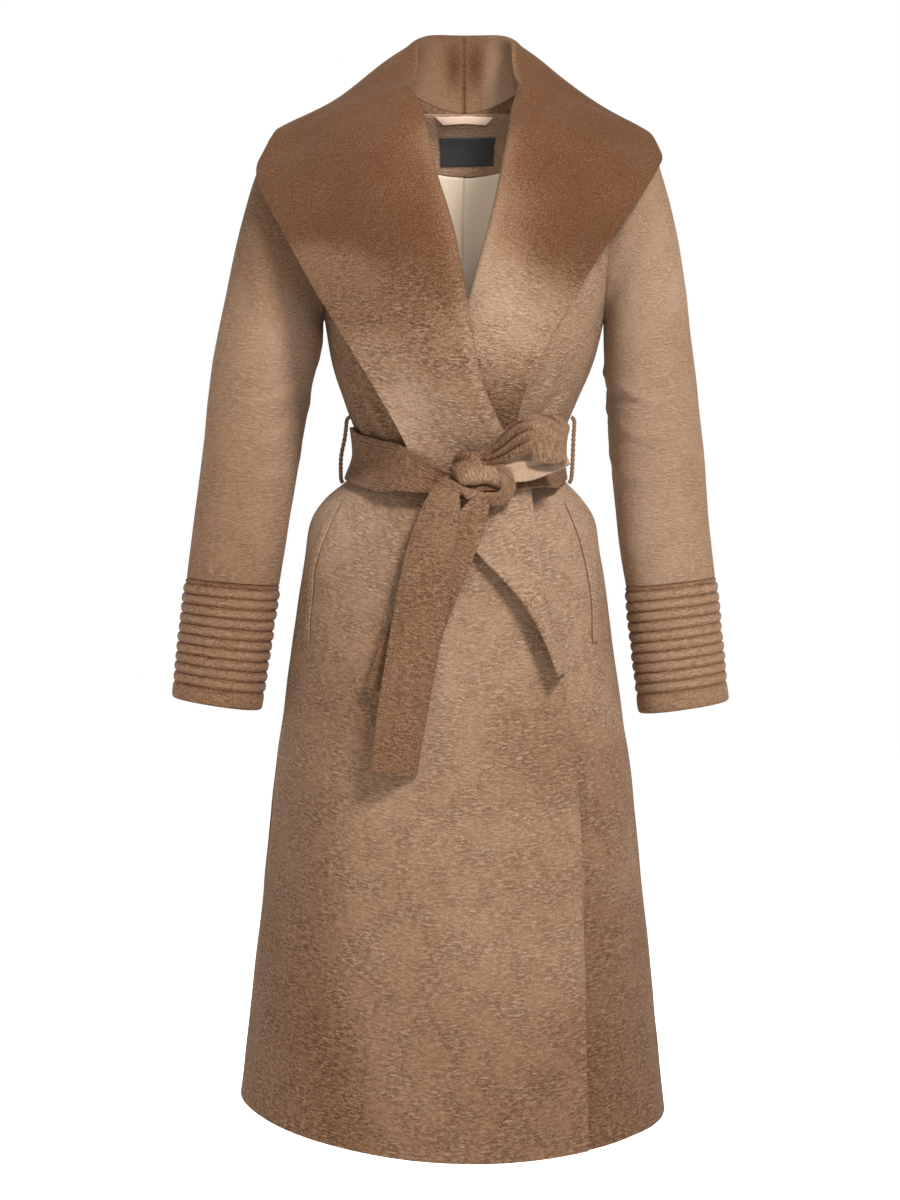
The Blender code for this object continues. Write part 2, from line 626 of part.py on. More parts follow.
# --- Collar -----------------------------------------------------------------------------------------------
def collar_frame(edge, neck, lapel, edge_lift, radius):
    """At each station: the collar's seam, its roll, its outer edge, and the directions there."""
    stations = edge.collar_stations
    first = edge.first
    angle, ring = edge.at(stations)
    lift = np.concatenate([np.zeros(len(edge.neck_stations) - 1), edge_lift[: len(edge.lapel_stations) + 1]])
    base = body_points(angle, ring, lift)
    along = unit(np.gradient(body_points(angle, ring), axis=0))
    normal = body_normal(angle, ring)
    in_surface = unit(np.cross(along, normal)) * edge.side
    radius = radius[:, None]
    rolled = base + in_surface * (EDGE_LAP + radius) + normal * radius
    neck_rows = np.array([row[1:4] for row in neck], float) * MM
    corner = rolled[np.argmin(np.abs(stations - first))]
    at_neck = through(np.concatenate([neck_rows, corner[None]]), np.minimum(stations, first))
    blend = np.clip(stations - first + 1.0, 0, 1)[:, None]
    blend = blend * blend * (3 - 2 * blend)
    roll = at_neck * (1 - blend) + rolled * blend
    centre = np.array([neck[0][1] * MM, 0, 0])
    radial = unit((roll - centre) * np.array([1, 1, 0]))
    out = unit(radial * (1 - blend) + normal * blend)
    up = unit(unit(roll - base) * (1 - blend) + in_surface * blend)
    up = unit(up - out * np.sum(up * out, axis=1, keepdims=True))
    outer = through([row[4:8] for row in neck] + [row[2:6] for row in lapel], stations) * MM
    return base, in_surface, roll, up, out, outer[:, :3], outer[:, 3:]


def collar_grid(edge, neck, lapel, edge_lift, radius, below):
    """The collar's middle surface: up from its seam, over the roll and down to its outer edge."""
    base, onward, roll, up, out, outer, puff = collar_frame(edge, neck, lapel, edge_lift, radius)
    radius = radius[:, None]
    centre = roll - up * radius
    turn_in = centre - out * radius
    turn_out = centre + out * radius
    gap = SEAM * (1 + 2 * np.exp(-(((edge.collar_stations - edge.first) / 0.6) ** 2)))
    start = base + onward * gap[:, None]
    down_front = np.clip(edge.collar_stations - edge.first + 1, 0, 1)[:, None]
    rise = (base + onward * EDGE_LAP * 0.7) * (1 - down_front) + (2 * start + turn_in) / 3 * down_front
    half = math.sqrt(0.5)
    shoulder_in = centre + (up - out) * radius * half
    shoulder_out = centre + (up + out) * radius * half
    columns = [start, rise, (rise + turn_in) / 2, turn_in, shoulder_in, roll, shoulder_out, turn_out]
    along = unit(np.gradient(roll, axis=0))
    chord = outer - turn_out
    side = unit(np.cross(chord, along))
    side = np.where(np.sum(side * (out + [0, 0, 0.5]), axis=1, keepdims=True) < 0, -side, side)
    for share in np.linspace(0, 1, FALL_POINTS + 1)[1:]:
        columns.append(turn_out + chord * share + side * 6.75 * share * (1 - share) ** 2 * puff)
    points = np.stack(columns, axis=1)
    points[0, :, 0] = neck[0][1] * MM + edge.side * SEAM / 2
    normals = grid_normals(points)[:, 8:]
    facing = np.sum(normals * (out + [0, 0, 0.5])[:, None], axis=-1, keepdims=True)
    normals = np.where(facing < 0, -normals, normals)
    normals[0, :, 0] = 0
    lift = spread_out(lift_over(points[:, 8:], normals, below, DOUBLE / 2), 6)
    points[:, 8:] += normals * lift[..., None]
    return points


# --- Belt -------------------------------------------------------------------------------------------------
def belt_height(angle):
    turn = np.radians(angle)
    facing = np.abs(np.cos(turn)) ** 1.6
    middle = np.where(np.cos(turn) > 0, BELT_FRONT_Z, BELT_BACK_Z)
    return BELT_SIDE_Z + (middle - BELT_SIDE_Z) * facing


def ring_at(angle, z):
    """The ring of the body that is at height z at each angle."""
    rings = np.linspace(0, len(BODY) - 1, 900)
    heights = body_place(np.asarray(angle)[:, None], rings[None, :])[..., 2]
    return np.array([np.interp(-height, -row, rings) for height, row in zip(z, heights)])


def belt_band_grid(below):
    angle = np.linspace(-180, 180, BELT_ROUND, endpoint=False)
    rows = []
    for across in (-0.5, 0.0, 0.5):
        rows.append(ring_at(angle, belt_height(angle) + across * BELT_WIDTH))
    ring = np.array(rows)
    angle = np.broadcast_to(angle, ring.shape)
    points, out = body_points(angle, ring), body_normal(angle, ring)
    flat = out * np.array([1, 1, 0.35])
    around = [np.concatenate([part, part[:, :1]], axis=1) for part in (points, unit(flat))]
    need = lift_over(*around, below, DOUBLE / 2)[:, :-1]
    need[:, 0] = need[:, [0, 1, -1]].max(axis=1)
    points = points + unit(flat) * need.max(axis=0)[None, :, None]
    return pulled_tight(points)


def pulled_tight(rows):
    """The same closed rows, drawn straight across every hollow as a tight belt is."""
    middle = rows[1].mean(axis=0)
    reach = np.hypot(rows[1, :, 0] - middle[0], rows[1, :, 1] - middle[1])
    turn = np.arctan2(rows[1, :, 1] - middle[1], rows[1, :, 0] - middle[0])
    tight = reach.copy()
    for _ in range(200):
        before, after = np.roll(tight, 1), np.roll(tight, -1)
        to_before = turn - np.roll(turn, 1)
        to_after = np.roll(turn, -1) - turn
        straight = before * after * np.sin(to_before + to_after)
        straight = straight / (before * np.sin(to_before) + after * np.sin(to_after))
        tight = np.maximum(tight, straight)
    away = rows - middle
    away[..., :2] *= (tight / reach)[None, :, None]
    return middle + away


def ribbon_grid(table, steps, across=5):
    """A ribbon's middle surface, with its middle bowed forward."""
    rows = through(table, np.linspace(0, len(table) - 1, steps))
    centre = rows[:, :3] * MM
    along = unit(np.gradient(centre, axis=0))
    side = rows[:, 3:6]
    side = unit(side - along * np.sum(side * along, axis=1, keepdims=True))
    forward = unit(np.cross(along, side))
    forward = np.where(forward[:, 1:2] > 0, -forward, forward)
    share = np.linspace(-1, 1, across)[None, :, None]
    half = rows[:, 6][:, None, None] * MM / 2
    bow = rows[:, 7][:, None, None] * MM * (1 - share**2)
    return centre[:, None] + side[:, None] * share * half + forward[:, None] * bow


def tail_grid(table, steps, below):
    points = ribbon_grid(table, steps)
    forward = np.broadcast_to(np.array([0.0, -1.0, 0.0]), points.shape)
    lift = spread_out(lift_over(points, forward, below, DOUBLE / 2, LAID), 8)
    return points + forward * lift[..., None]


def bow_grid(table, steps):
    """The bow's loop: the ribbon turns back on itself, so its forward side follows the turn."""
    rows = through(table, np.linspace(0, len(table) - 1, steps))
    centre = rows[:, :3] * MM
    along = unit(np.gradient(centre, axis=0))
    side = rows[:, 3:6]
    side = unit(side - along * np.sum(side * along, axis=1, keepdims=True))
    share = np.linspace(-1, 1, 4)[None, :, None]
    half = rows[:, 6][:, None, None] * MM / 2
    bow = rows[:, 7][:, None, None] * MM * (1 - share**2)
    points = centre[:, None] + side[:, None] * share * half + np.array([0.0, -1.0, 0.0]) * bow
    return points + np.array([0, BOW_SEAT, 0])


def cord_rings(line, along, half_across, half_deep, sides):
    """Rings round a line in a plane that faces the front; along is the line's direction."""
    turn = np.linspace(0, 2 * math.pi, sides, endpoint=False)[None, :, None]
    across = np.stack([along[:, 2], np.zeros(len(along)), -along[:, 0]], axis=-1)
    across = unit(across)[:, None] * np.reshape(half_across, (-1, 1, 1))
    deep = np.array([0.0, 1.0, 0.0]) * np.reshape(half_deep, (-1, 1, 1))
    return line[:, None] + np.cos(turn) * across + np.sin(turn) * deep


def knot(name, collection):
    """The roll of cloth across the knot and the turn at its end."""
    rows = through(KNOT, np.linspace(0, len(KNOT) - 1, 17)) * MM
    along = unit(np.gradient(rows[:, :3], axis=0))
    tube = closed_tube(cord_rings(rows[:, :3], along, rows[:, 3], rows[:, 4], 10))
    return add_object(name, tube, "wool_belt", collection)


def thread_loop(name, side, back, belt, collection):
    """A thread loop at the side seam that carries the belt."""
    column = np.argmin(np.abs(np.linspace(-180, 180, BELT_ROUND, endpoint=False) - side * 90))
    belt_x = abs(belt[1, column, 0])
    half = LOOP_CORD / 2

    def off_wall(z, stand):
        place, normal, _, _ = back.ray_cast(Vector((side * 0.5, LOOP_Y, z)), Vector((-side, 0, 0)))
        if normal.x * side < 0:
            normal = -normal
        away = CLOTH / 2 + stand
        return side * (place.x + normal.x * away), place.z + normal.z * away

    near, off = 0.9 * MM, 6.0 * MM
    top, low = LOOP_TOP_Z, LOOP_LOW_Z
    clear = DOUBLE / 2 + half + AIR
    stand_x = belt_x + LOOP_STAND
    lean_x = stand_x + LOOP_LEAN[side]
    rows = np.array(
        [
            off_wall(top, near),
            off_wall(top, off),
            (max(abs(belt[2, column, 0]) + clear, stand_x - 3 * MM), top - 12 * MM),
            (stand_x, top - 32 * MM),
            (lean_x, low + 24 * MM),
            (max(abs(belt[0, column, 0]) + clear, lean_x - 1 * MM), low + 12 * MM),
            off_wall(low, off),
            off_wall(low, near),
        ]
    )
    flat = through(rows, np.linspace(0, len(rows) - 1, 15))
    line = np.stack([flat[:, 0] * side, np.full(len(flat), LOOP_Y), flat[:, 1]], axis=-1)
    along = unit(np.gradient(line, axis=0))
    cord = closed_tube(cord_rings(line, along, [half] * 15, [half] * 15, 5))
    return add_object(name, cord, "wool_belt", collection)


# --- Pockets and the inside of the back neck --------------------------------------------------------------
def welt_grid(rows, below):
    """A pocket's welt, laid on the front along its slanting mouth."""
    x, z = through(rows, np.linspace(0, len(rows) - 1, 9)).T * MM
    places = np.stack(locate(x, z), axis=-1)
    line = body_points(places[:, 0], places[:, 1])
    normal = body_normal(places[:, 0], places[:, 1])
    along = unit(np.gradient(line, axis=0))
    across = unit(np.cross(normal, along))
    share = np.linspace(-0.5, 0.5, 3)[None, :, None]
    points = line[:, None] + across[:, None] * share * WELT_WIDTH
    out = np.broadcast_to(normal[:, None], points.shape)
    need = lift_over(points, out, below, WELT / 2, 2 * LAID)
    return points + out * need[..., None]


def inside_grid(angles, rings, depth):
    """Cloth on the inside of the back, depth from its middle surface."""
    angle, ring = np.broadcast_arrays(np.asarray(angles)[None, :], np.asarray(rings)[:, None])
    return body_points(angle, ring, -depth)


def lining_grid(angles, depth):
    """The back lining, with a pleat down its centre."""
    rings = [ring for ring in BACK_RINGS if FACING_LOW_RING <= ring <= LINING_LOW_RING]
    rings[0] += 0.02
    flat = inside_grid(angles, rings, depth)
    raised = inside_grid(angles, rings, depth + PLEAT_HEIGHT)
    columns = np.sort(np.concatenate([angles, [175.5, 178.5, 181.5, 184.5]]))
    at = np.interp(columns, angles, np.arange(len(angles)))
    low = np.minimum(at.astype(int), len(angles) - 2)
    share = (at - low)[None, :, None]
    pleat = np.exp(-(((columns - 180) / 1.6) ** 2))[None, :, None]
    flat = flat[:, low] * (1 - share) + flat[:, low + 1] * share
    raised = raised[:, low] * (1 - share) + raised[:, low + 1] * share
    return flat * (1 - pleat) + raised * pleat


def label_grid(depth):
    """The label on the facing: a small upright patch, as wide above as below."""
    ring = np.linspace(*LABEL_RINGS, 3)[:, None]
    half_x = through(BODY, ring.ravel())[:, :1] * MM
    angle = 180 + np.degrees(np.arcsin(np.linspace(-1, 1, 7)[None, :] * LABEL_HALF_WIDTH / half_x))
    return body_points(angle, np.broadcast_to(ring, angle.shape), -depth)


def hanger_grid(depth):
    """The hanger: a flat satin strip under the neck seam, its ends turned up into the seam."""
    share = np.linspace(-1, 1, 11)
    angle = 180 + share * HANGER_HALF_ANGLE
    drop = np.clip((1 - np.abs(share)) / 0.28, 0, 1)
    stand = depth + HANGER_STAND * np.clip((1 - np.abs(share)) / 0.3, 0, 1)
    top, low = SEAM_RING + 0.1 * drop, SEAM_RING + 0.32 + HANGER_DROP * drop
    return np.array([body_points(angle, ring, -stand) for ring in (top, low)])


# --- The whole coat ---------------------------------------------------------------------------------------
def build():
    coat = bpy.data.collections.new("wool_wrap_coat")
    cutters = bpy.data.collections.new("cutters")
    bpy.context.scene.collection.children.link(coat)
    bpy.context.scene.collection.children.link(cutters)
    cutters.hide_render = True

    right_edge = FrontEdge(NECK_RIGHT, LAPEL_RIGHT, EDGE_RIGHT, -1)
    left_edge = FrontEdge(NECK_LEFT, LAPEL_LEFT, EDGE_LEFT, 1)

    angles = back_angles(left_edge, right_edge)
    back = back_grid(angles)
    sleeves = {"right": sleeve_grid(SLEEVE_RIGHT), "left": sleeve_grid(SLEEVE_LEFT)}
    layers = [(tree(back), CLOTH / 2)] + [(tree(grid, closed=True), CLOTH / 2) for grid in sleeves.values()]

    front_left, left_lift = front_grid(left_edge)
    front_left_layer = (tree(front_left), CLOTH / 2)
    radius = np.interp(
        left_edge.collar_stations,
        (0, 3.5, 4.5, 6, 11, 13),
        (NECK_RADIUS, ROLL_RADIUS, SHOULDER_RADIUS, ROLL_RADIUS, ROLL_RADIUS, TUCKED_RADIUS),
    )
    collar_left = collar_grid(
        left_edge, NECK_LEFT, LAPEL_LEFT, left_lift, radius, layers + [front_left_layer]
    )
    collar_left_layer = (tree(collar_left), DOUBLE / 2)

    front_right, right_lift = front_grid(right_edge, [front_left_layer, collar_left_layer])
    front_right_layer = (tree(front_right), CLOTH / 2)
    radius = np.interp(
        right_edge.collar_stations,
        (0, 3.5, 4.5, 6, 17, 19),
        (NECK_RADIUS, ROLL_RADIUS, SHOULDER_RADIUS, ROLL_RADIUS, ROLL_RADIUS, END_RADIUS),
    )
    collar_right = collar_grid(
        right_edge,
        NECK_RIGHT,
        LAPEL_RIGHT,
        right_lift,
        radius,
        layers + [front_left_layer, collar_left_layer, front_right_layer],
    )
    collar_right_layer = (tree(collar_right), DOUBLE / 2)

    wrapped = [layers[0], front_left_layer, collar_left_layer, front_right_layer, collar_right_layer]
    belt = belt_band_grid(wrapped)
    belt_layer = (tree(belt, closed=True), DOUBLE / 2)

    body = [
        wall("back", back, CLOTH, "wool", coat),
        wall("front_left", front_left, CLOTH, "wool", coat),
        wall("front_right", front_right, CLOTH, "wool", coat),
    ]
    cutter_right = armhole_cutter("armhole_right", SLEEVE_RIGHT, cutters)
    cutter_left = armhole_cutter("armhole_left", SLEEVE_LEFT, cutters)
    cut(body[0], cutter_right, cutter_left)
    cut(body[1], cutter_left)
    cut(body[2], cutter_right)
    for side, grid in sleeves.items():
        wall(f"sleeve_{side}", grid, CLOTH, "wool", coat, closed=True)
    cuff("cuff_right", SLEEVE_RIGHT, CUFF_LOW_RIGHT, coat)
    cuff("cuff_left", SLEEVE_LEFT, CUFF_LOW_LEFT, coat)
    wall("collar_left", collar_left, DOUBLE, "wool_collar", coat)
    wall("collar_right", collar_right, DOUBLE, "wool_collar", coat)

    wall("belt_band", belt, DOUBLE, "wool_belt", coat, closed=True)
    under_tails = [front_right_layer, collar_right_layer, belt_layer]
    tail_short = tail_grid(TAIL_SHORT, 19, under_tails)
    tail_long = tail_grid(TAIL_LONG, 13, under_tails + [(tree(tail_short), DOUBLE / 2)])
    wall("belt_tail_short", tail_short, DOUBLE, "wool_belt", coat)
    wall("belt_tail_long", tail_long, DOUBLE, "wool_belt", coat)
    wall("belt_bow_loop", bow_grid(BOW_LOOP, 19), DOUBLE, "wool_belt", coat)
    knot("belt_knot", coat)
    thread_loop("belt_loop_right", -1, layers[0][0], belt, coat)
    thread_loop("belt_loop_left", 1, layers[0][0], belt, coat)

    wall("pocket_welt_right", welt_grid(POCKET_RIGHT, [front_right_layer]), WELT, "wool", coat)
    wall("pocket_welt_left", welt_grid(POCKET_LEFT, [front_left_layer]), WELT, "wool", coat)

    inner = angles[(angles > INSIDE_ANGLES[0]) & (angles < INSIDE_ANGLES[1])]
    facing_depth = (CLOTH + FACING) / 2 + SEAM
    facing_rings = [ring for ring in BACK_RINGS if ring <= FACING_LOW_RING]
    wall("back_facing", inside_grid(inner, facing_rings, facing_depth), FACING, "wool", coat)
    lining_depth = (CLOTH + SATIN) / 2 + SEAM
    wall("back_lining", lining_grid(inner, lining_depth), SATIN, "satin_lining", coat)
    on_facing = facing_depth + (FACING + SATIN) / 2 + SEAM
    wall("neck_label", label_grid(on_facing), SATIN, "label_black", coat)
    wall("hanger_loop", hanger_grid(on_facing), SATIN, "satin_trim", coat)


for leftover in list(bpy.data.objects):
    bpy.data.objects.remove(leftover)
build()
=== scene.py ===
"""The looks of the wool wrap coat: its napped cloth, shawl collar, ribbed cuffs, tied belt and lining.

Metres, +Z up; the front faces -Y and +X is the wearer's left. Sizes in the tables are millimetres.
Every piece is cut, laid over what lies under it and finished in the order in which the coat is dressed.
"""

import math

import bmesh
import bpy
import numpy as np
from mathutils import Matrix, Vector, noise
from mathutils.bvhtree import BVHTree


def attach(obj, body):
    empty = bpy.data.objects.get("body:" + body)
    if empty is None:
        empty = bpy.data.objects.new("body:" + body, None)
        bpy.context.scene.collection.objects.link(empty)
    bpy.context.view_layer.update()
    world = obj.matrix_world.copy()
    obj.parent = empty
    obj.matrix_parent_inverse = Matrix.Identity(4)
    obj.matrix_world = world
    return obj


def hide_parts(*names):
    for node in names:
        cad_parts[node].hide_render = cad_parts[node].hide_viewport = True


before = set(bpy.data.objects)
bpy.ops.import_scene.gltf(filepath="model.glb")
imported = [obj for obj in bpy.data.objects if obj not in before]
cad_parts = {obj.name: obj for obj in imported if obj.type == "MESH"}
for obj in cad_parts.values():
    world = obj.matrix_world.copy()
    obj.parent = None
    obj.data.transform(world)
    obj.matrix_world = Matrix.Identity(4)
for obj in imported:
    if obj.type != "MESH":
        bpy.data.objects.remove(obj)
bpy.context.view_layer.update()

MM = 0.001
SEAM = 0.4 * MM  # gap between two pieces along a seam
CLOTH = 2.5 * MM  # wall of the body and the sleeves
DOUBLE = 3.0 * MM  # collar and belt, two layers sewn together
SATIN = 1.2 * MM  # lining, label and hanger
AIR = 1.8 * MM  # least gap between two large layers that lie on each other
LAID = 0.45 * MM  # least gap under a narrow piece: a belt's end or a welt
REACH = 34 * MM  # how far a layer looks for others under it
NAP_AND_SHADE_SPREAD = 42 * MM  # how gradually the nap and its painted light and shade change between two places
COLLAR_SPREAD = 21 * MM  # and on the collar
FORWARD = np.array([0.0, -1.0, 0.0])
LEVEL = np.array([1, 1, 0])  # keeps what lies in the level plane

# --- Body: rings from the neck down to the hem ----------------------------------------------------
# Each row: half_x, half the width; mid_x, its centre; front_y, back_y, how deep it is; side_z, front_z,
# back_z, the height of the ring; tilt, how much higher its left end lies.
BODY = (
    (65.0, 5, -59, 58.5, 8, -44, -12, 0),  # neck seam
    (66.5, 5, -61, 60.5, -1, -54, -21, 0),
    (105.0, 6, -92, 81, -14, -88, -47, 0),
    (148.0, 6, -112, 97, -31, -127, -86, 0),
    (182.0, 5, -122, 107, -52, -165, -125, 0),  # shoulder point
    (177.5, 5, -129, 110, -110, -200, -165, 0),
    (164.0, 5, -133, 109, -180, -236, -205, 0),
    (153.0, 4.5, -133, 106, -240, -268, -250, 0),  # underarm
    (142.0, 3, -127, 100, -290, -300, -295, 0),
    (125.5, 1, -114, 92, -335, -340, -335, 0),
    (112.0, 0, -103, 86, -374, -380, -374, 0),  # waist
    (110.5, -2.5, -101, 85, -404, -412, -404, 0),
    (118.0, -4, -104, 88, -420, -429, -420, 0),
    (140.0, -7, -115, 101, -441, -451, -441, 0),
    (155.0, -7.5, -127, 115, -466, -477, -466, 0),
    (161.5, -8, -134, 124, -506, -517, -506, 0),
    (170.0, -8.5, -143, 134, -560, -572, -560, 0),  # hip
    (180.0, -8.5, -153, 142, -640, -653, -640, 0),
    (193.5, -8, -164, 150, -735, -749, -735, 0),
    (206.0, -8, -174, 158, -850, -866, -850, -1),
    (218.0, -8, -184, 166, -965, -983, -965, -3),
    (233.5, -8, -196, 176, -1104, -1129, -1104, -9),  # hem
)
SQUARE = 0.035  # how much a ring fills out towards its corners
DIP = 2.6  # how sharply a ring's height changes towards its front and back
# Large folds: angle at the lower and the upper end, half width in degrees, ring at the lower and the upper
# end, height.
FOLDS = (
    (-58, -70, 7, 10.2, 7.4, 4.0),
    (-40, -50, 6, 10.2, 7.8, 3.5),
    (50, 62, 7, 10.2, 7.6, 3.0),
    (150, 146, 8, 10.2, 7.2, 4.0),
    (-150, -146, 8, 10.2, 7.2, 4.0),
    (158, 160, 12, 21.5, 12.2, 7.0),
    (-160, -158, 12, 21.5, 12.2, 7.0),
    (-55, -48, 9, 15.6, 12.2, 4.0),
    (44, 40, 8, 15.0, 12.2, 4.0),
    (-118, -112, 12, 21.5, 13.5, 5.0),
    (118, 112, 12, 21.5, 13.5, 5.0),
)

# --- Sleeves: sections from the armhole down to the cuff seam -------------------------------------
# Each row: out_x, out_z, the outer point; in_x, in_z, the inner point; half_y, half the depth; mid_y, its
# middle.
SLEEVE_RIGHT = (
    (-163, -52, -138, -220, 58, 2),
    (-180, -45, -145, -234, 62, 2),
    (-201, -44, -149, -241, 66, 1),
    (-221, -86, -151.5, -250, 67, 1),
    (-236, -134, -151.5, -267, 67, 0),
    (-251.5, -200, -156, -288, 66, 0),
    (-265, -266, -161.5, -309, 64, 1),
    (-275, -332, -169, -346, 61, 3),
    (-282.5, -398, -179, -406, 57, 4),
    (-291.5, -468, -190.5, -477, 53, 1),
    (-299, -527, -200.5, -535.5, 50, -4),
)
SLEEVE_LEFT = (
    (168, -52, 143, -220, 58, 2),
    (184, -46, 150, -234, 62, 2),
    (203, -47, 154.5, -241, 66, 1),
    (219.5, -88, 158.5, -250, 67, 1),
    (232, -134, 158.5, -267, 67, 0),
    (245, -200, 159, -288, 66, 0),
    (252, -266, 160.5, -312, 64, 1),
    (260, -332, 163.5, -350, 61, 3),
    (267, -398, 168.5, -409, 57, 4),
    (273.5, -468, 175.5, -480, 53, 1),
    (278.5, -526, 183.5, -537, 50, -4),
)
CUFF_END_RIGHT = (-313.5, -657, -221, -671.5, 47, -12)  # the hem of each cuff
CUFF_END_LEFT = (292, -661, 199, -675, 47, -12)
ARMHOLE_ROW = 2.8  # the row of its table up to which a sleeve opens the armhole
SLEEVE_SQUARE = 0.03  # how much a ring of a sleeve fills out towards its corners
RIB_COUNT = 10
RIB_PITCH = 11.0 * MM
RIB_HEIGHT = 2.6 * MM
CUFF_TOP = 5 * MM  # plain band above the first rib
RIB_ROUND = 0.55  # how full a rib is: 1 is a plain wave
# The plain band under the last rib: how far down it, and how far out as a share of a rib's height.
CUFF_BAND = ((0, 0), (0.12, 0.5), (0.3, 0.75), (0.6, 0.75), (0.85, 0.7), (0.96, 0.45))

# --- Collar: sections from the centre back round the neck and down the front ----------------------
# Up to the shoulder the roll line is given in space, over a point of the neck ring at `ring_angle`.
# From there down it follows the front edge, and roll_x, roll_z give it as seen from the front.
# Each row round the neck: ring_angle; roll_x, roll_y, roll_z, the top of the roll; edge_x, edge_y, edge_z,
# the outer edge; puff, how full the cloth stands between them.
NECK_RIGHT = (
    (180, 5, 70, 75.5, 5, 123, -110, 8),
    (210, -22, 64, 75, -78, 117, -107, 12),
    (240, -42, 44, 69, -142, 86, -83, 12),
    (270, -51, 14, 54, -177, 20, -40, 5),
    (284, -51, -11, 25, -193, -18, -53, 3),
)
NECK_LEFT = (
    (180, 5, 70, 75.5, 5, 123, -110, 8),
    (150, 34, 64, 75, 88, 117, -104, 12),
    (120, 54, 44, 69, 150, 86, -81, 12),
    (90, 62, 14, 54, 183, 20, -42, 4),
    (76, 62, -11, 25, 199, -11, -57, 2),
)
# Each row down the front: roll_x, roll_z; edge_x, edge_y, edge_z; puff.
LAPEL_RIGHT = (
    (-43, -12, -212, -37, -91, 7),  # corner
    (-37.5, -45, -208, -62, -118, 12),
    (-26, -98, -192, -86, -150, 12),
    (-9, -152, -173.5, -106, -185, 10),
    (3, -210, -154.5, -121, -218, 9),
    (11.5, -263, -130, -133, -258, 8),
    (20.5, -308, -105, -139, -299, 7),
    (33, -344, -81.5, -136, -338, 5),
    (44.5, -371, -63, -128, -371, 2),
    (59.5, -404, -45, -122, -410, 0),
    (68, -433, -25, -128, -441, 2),
    (75, -478, 10, -145.5, -489, 4),
    (83.5, -530, 57, -156, -537, 4),
    (98, -577, 86, -161, -582, 3),
    (105, -622, 103, -163, -624, 0),  # break point
)
LAPEL_LEFT = (
    (57.5, -12, 210, -33, -84, 6),  # corner
    (52, -48, 203, -54, -101, 12),
    (45, -86, 178, -80, -137, 12),
    (33.5, -140, 152.5, -100, -175, 10),
    (18, -195, 127, -116, -216, 9),
    (5, -240, 103, -127, -255, 8),
    (-8, -280, 84, -130, -290, 7),
    (-20, -312, 69, -127, -323, 5),
    (-31, -342, 60, -120, -356, 2),
    (-45, -372, 50, -113, -388, 0),
    (-58, -404, 42, -110, -414, 0),
)
EDGE_RIGHT = ((115.5, -693), (123.5, -785), (129, -960), (132, -1124))  # front edge below the lapel, x and z
EDGE_LEFT = ((-75, -470), (-90, -560), (-105, -700), (-120, -900), (-130, -1124))
ROLL_RADIUS = 5.5 * MM
NECK_RADIUS = 7.5 * MM  # roll at the centre back
SHOULDER_RADIUS = 4.2 * MM  # roll where the collar is lowest, just before the shoulder seam
TUCKED_RADIUS = 3.4 * MM  # roll of the left lapel where the right front holds it down
END_RADIUS = 3.0 * MM  # roll of the right lapel at its lower end
EDGE_LAP = 3.0 * MM  # straight stretch between a front's edge and the roll
PUFF_PEAK = 6.75  # makes the fullest place of the fall stand out by its puff
NECK_END = 62.0  # the angle at which the neck seam ends and a front's edge starts

# --- Belt -----------------------------------------------------------------------------------------
BELT_WIDTH = 57 * MM
BELT_SIDE_Z, BELT_FRONT_Z, BELT_BACK_Z = -390 * MM, -413 * MM, -388 * MM
# Ribbons, each row: the centre line, the direction across the ribbon, both as x, y and z, its width and how
# far its middle stands forward.
TAIL_LONG = (
    (-7, -149, -421, -0.72, 0.00, 0.55, 20, 2),
    (-19, -149, -444, -0.88, 0.05, 0.42, 34, 4),
    (-28, -152, -482, -0.96, 0.02, 0.26, 48, 5),
    (-37, -159, -530, -0.96, -0.10, 0.22, 54, 5),
    (-48, -166, -590, -0.93, -0.22, 0.18, 55, 5),
    (-59, -172, -650, -0.88, -0.36, 0.15, 56, 5),
    (-70, -178, -725, -0.80, -0.56, 0.05, 57, 5),
)
TAIL_SHORT = (
    (22, -150, -440, -0.45, -0.05, 0.89, 18, 1),
    (15, -151, -455, -0.60, -0.02, 0.80, 28, 2),
    (3, -151, -477, -0.84, 0.03, 0.52, 38, 2),
    (-16, -152, -512, -0.93, 0.00, 0.33, 46, 2),
    (-39, -154, -560, -0.95, -0.02, 0.28, 54, 1),
    (-59, -157, -606, -0.95, -0.06, 0.26, 56, 1),
    (-73, -158, -645, -0.94, -0.10, 0.22, 57, 1),
)
BOW_LOOP = (
    (22, -145, -398, -0.05, 0.10, 0.99, 14, 1),
    (34, -147, -394, -0.06, 0.10, 0.99, 20, 3),
    (45, -150, -388, -0.08, 0.06, 0.99, 26, 5),
    (56, -152, -380, -0.10, 0.04, 0.99, 32, 6),
    (67, -153, -374, -0.10, 0.03, 0.99, 36, 8),
    (77, -153, -373, -0.08, 0.03, 0.99, 42, 9),
    (88, -153, -376, -0.05, 0.03, 0.99, 51, 10),
    (98, -151, -378, -0.02, 0.05, 0.99, 49, 9),
    (106, -147, -380, 0.02, 0.10, 0.99, 44, 6),
    (111, -141, -383, 0.05, 0.14, 0.98, 40, 1),
    (107, -135, -386, 0.08, 0.18, 0.97, 40, -1),
    (97, -136, -390, 0.10, 0.22, 0.96, 41, -2),
    (85, -141, -395, 0.10, 0.26, 0.95, 41, -2),
    (70, -145, -400, 0.08, 0.26, 0.95, 42, -2),
    (56, -148, -405, 0.05, 0.22, 0.97, 36, 0),
    (38, -147, -408, 0.05, 0.15, 1.00, 26, 0),
)
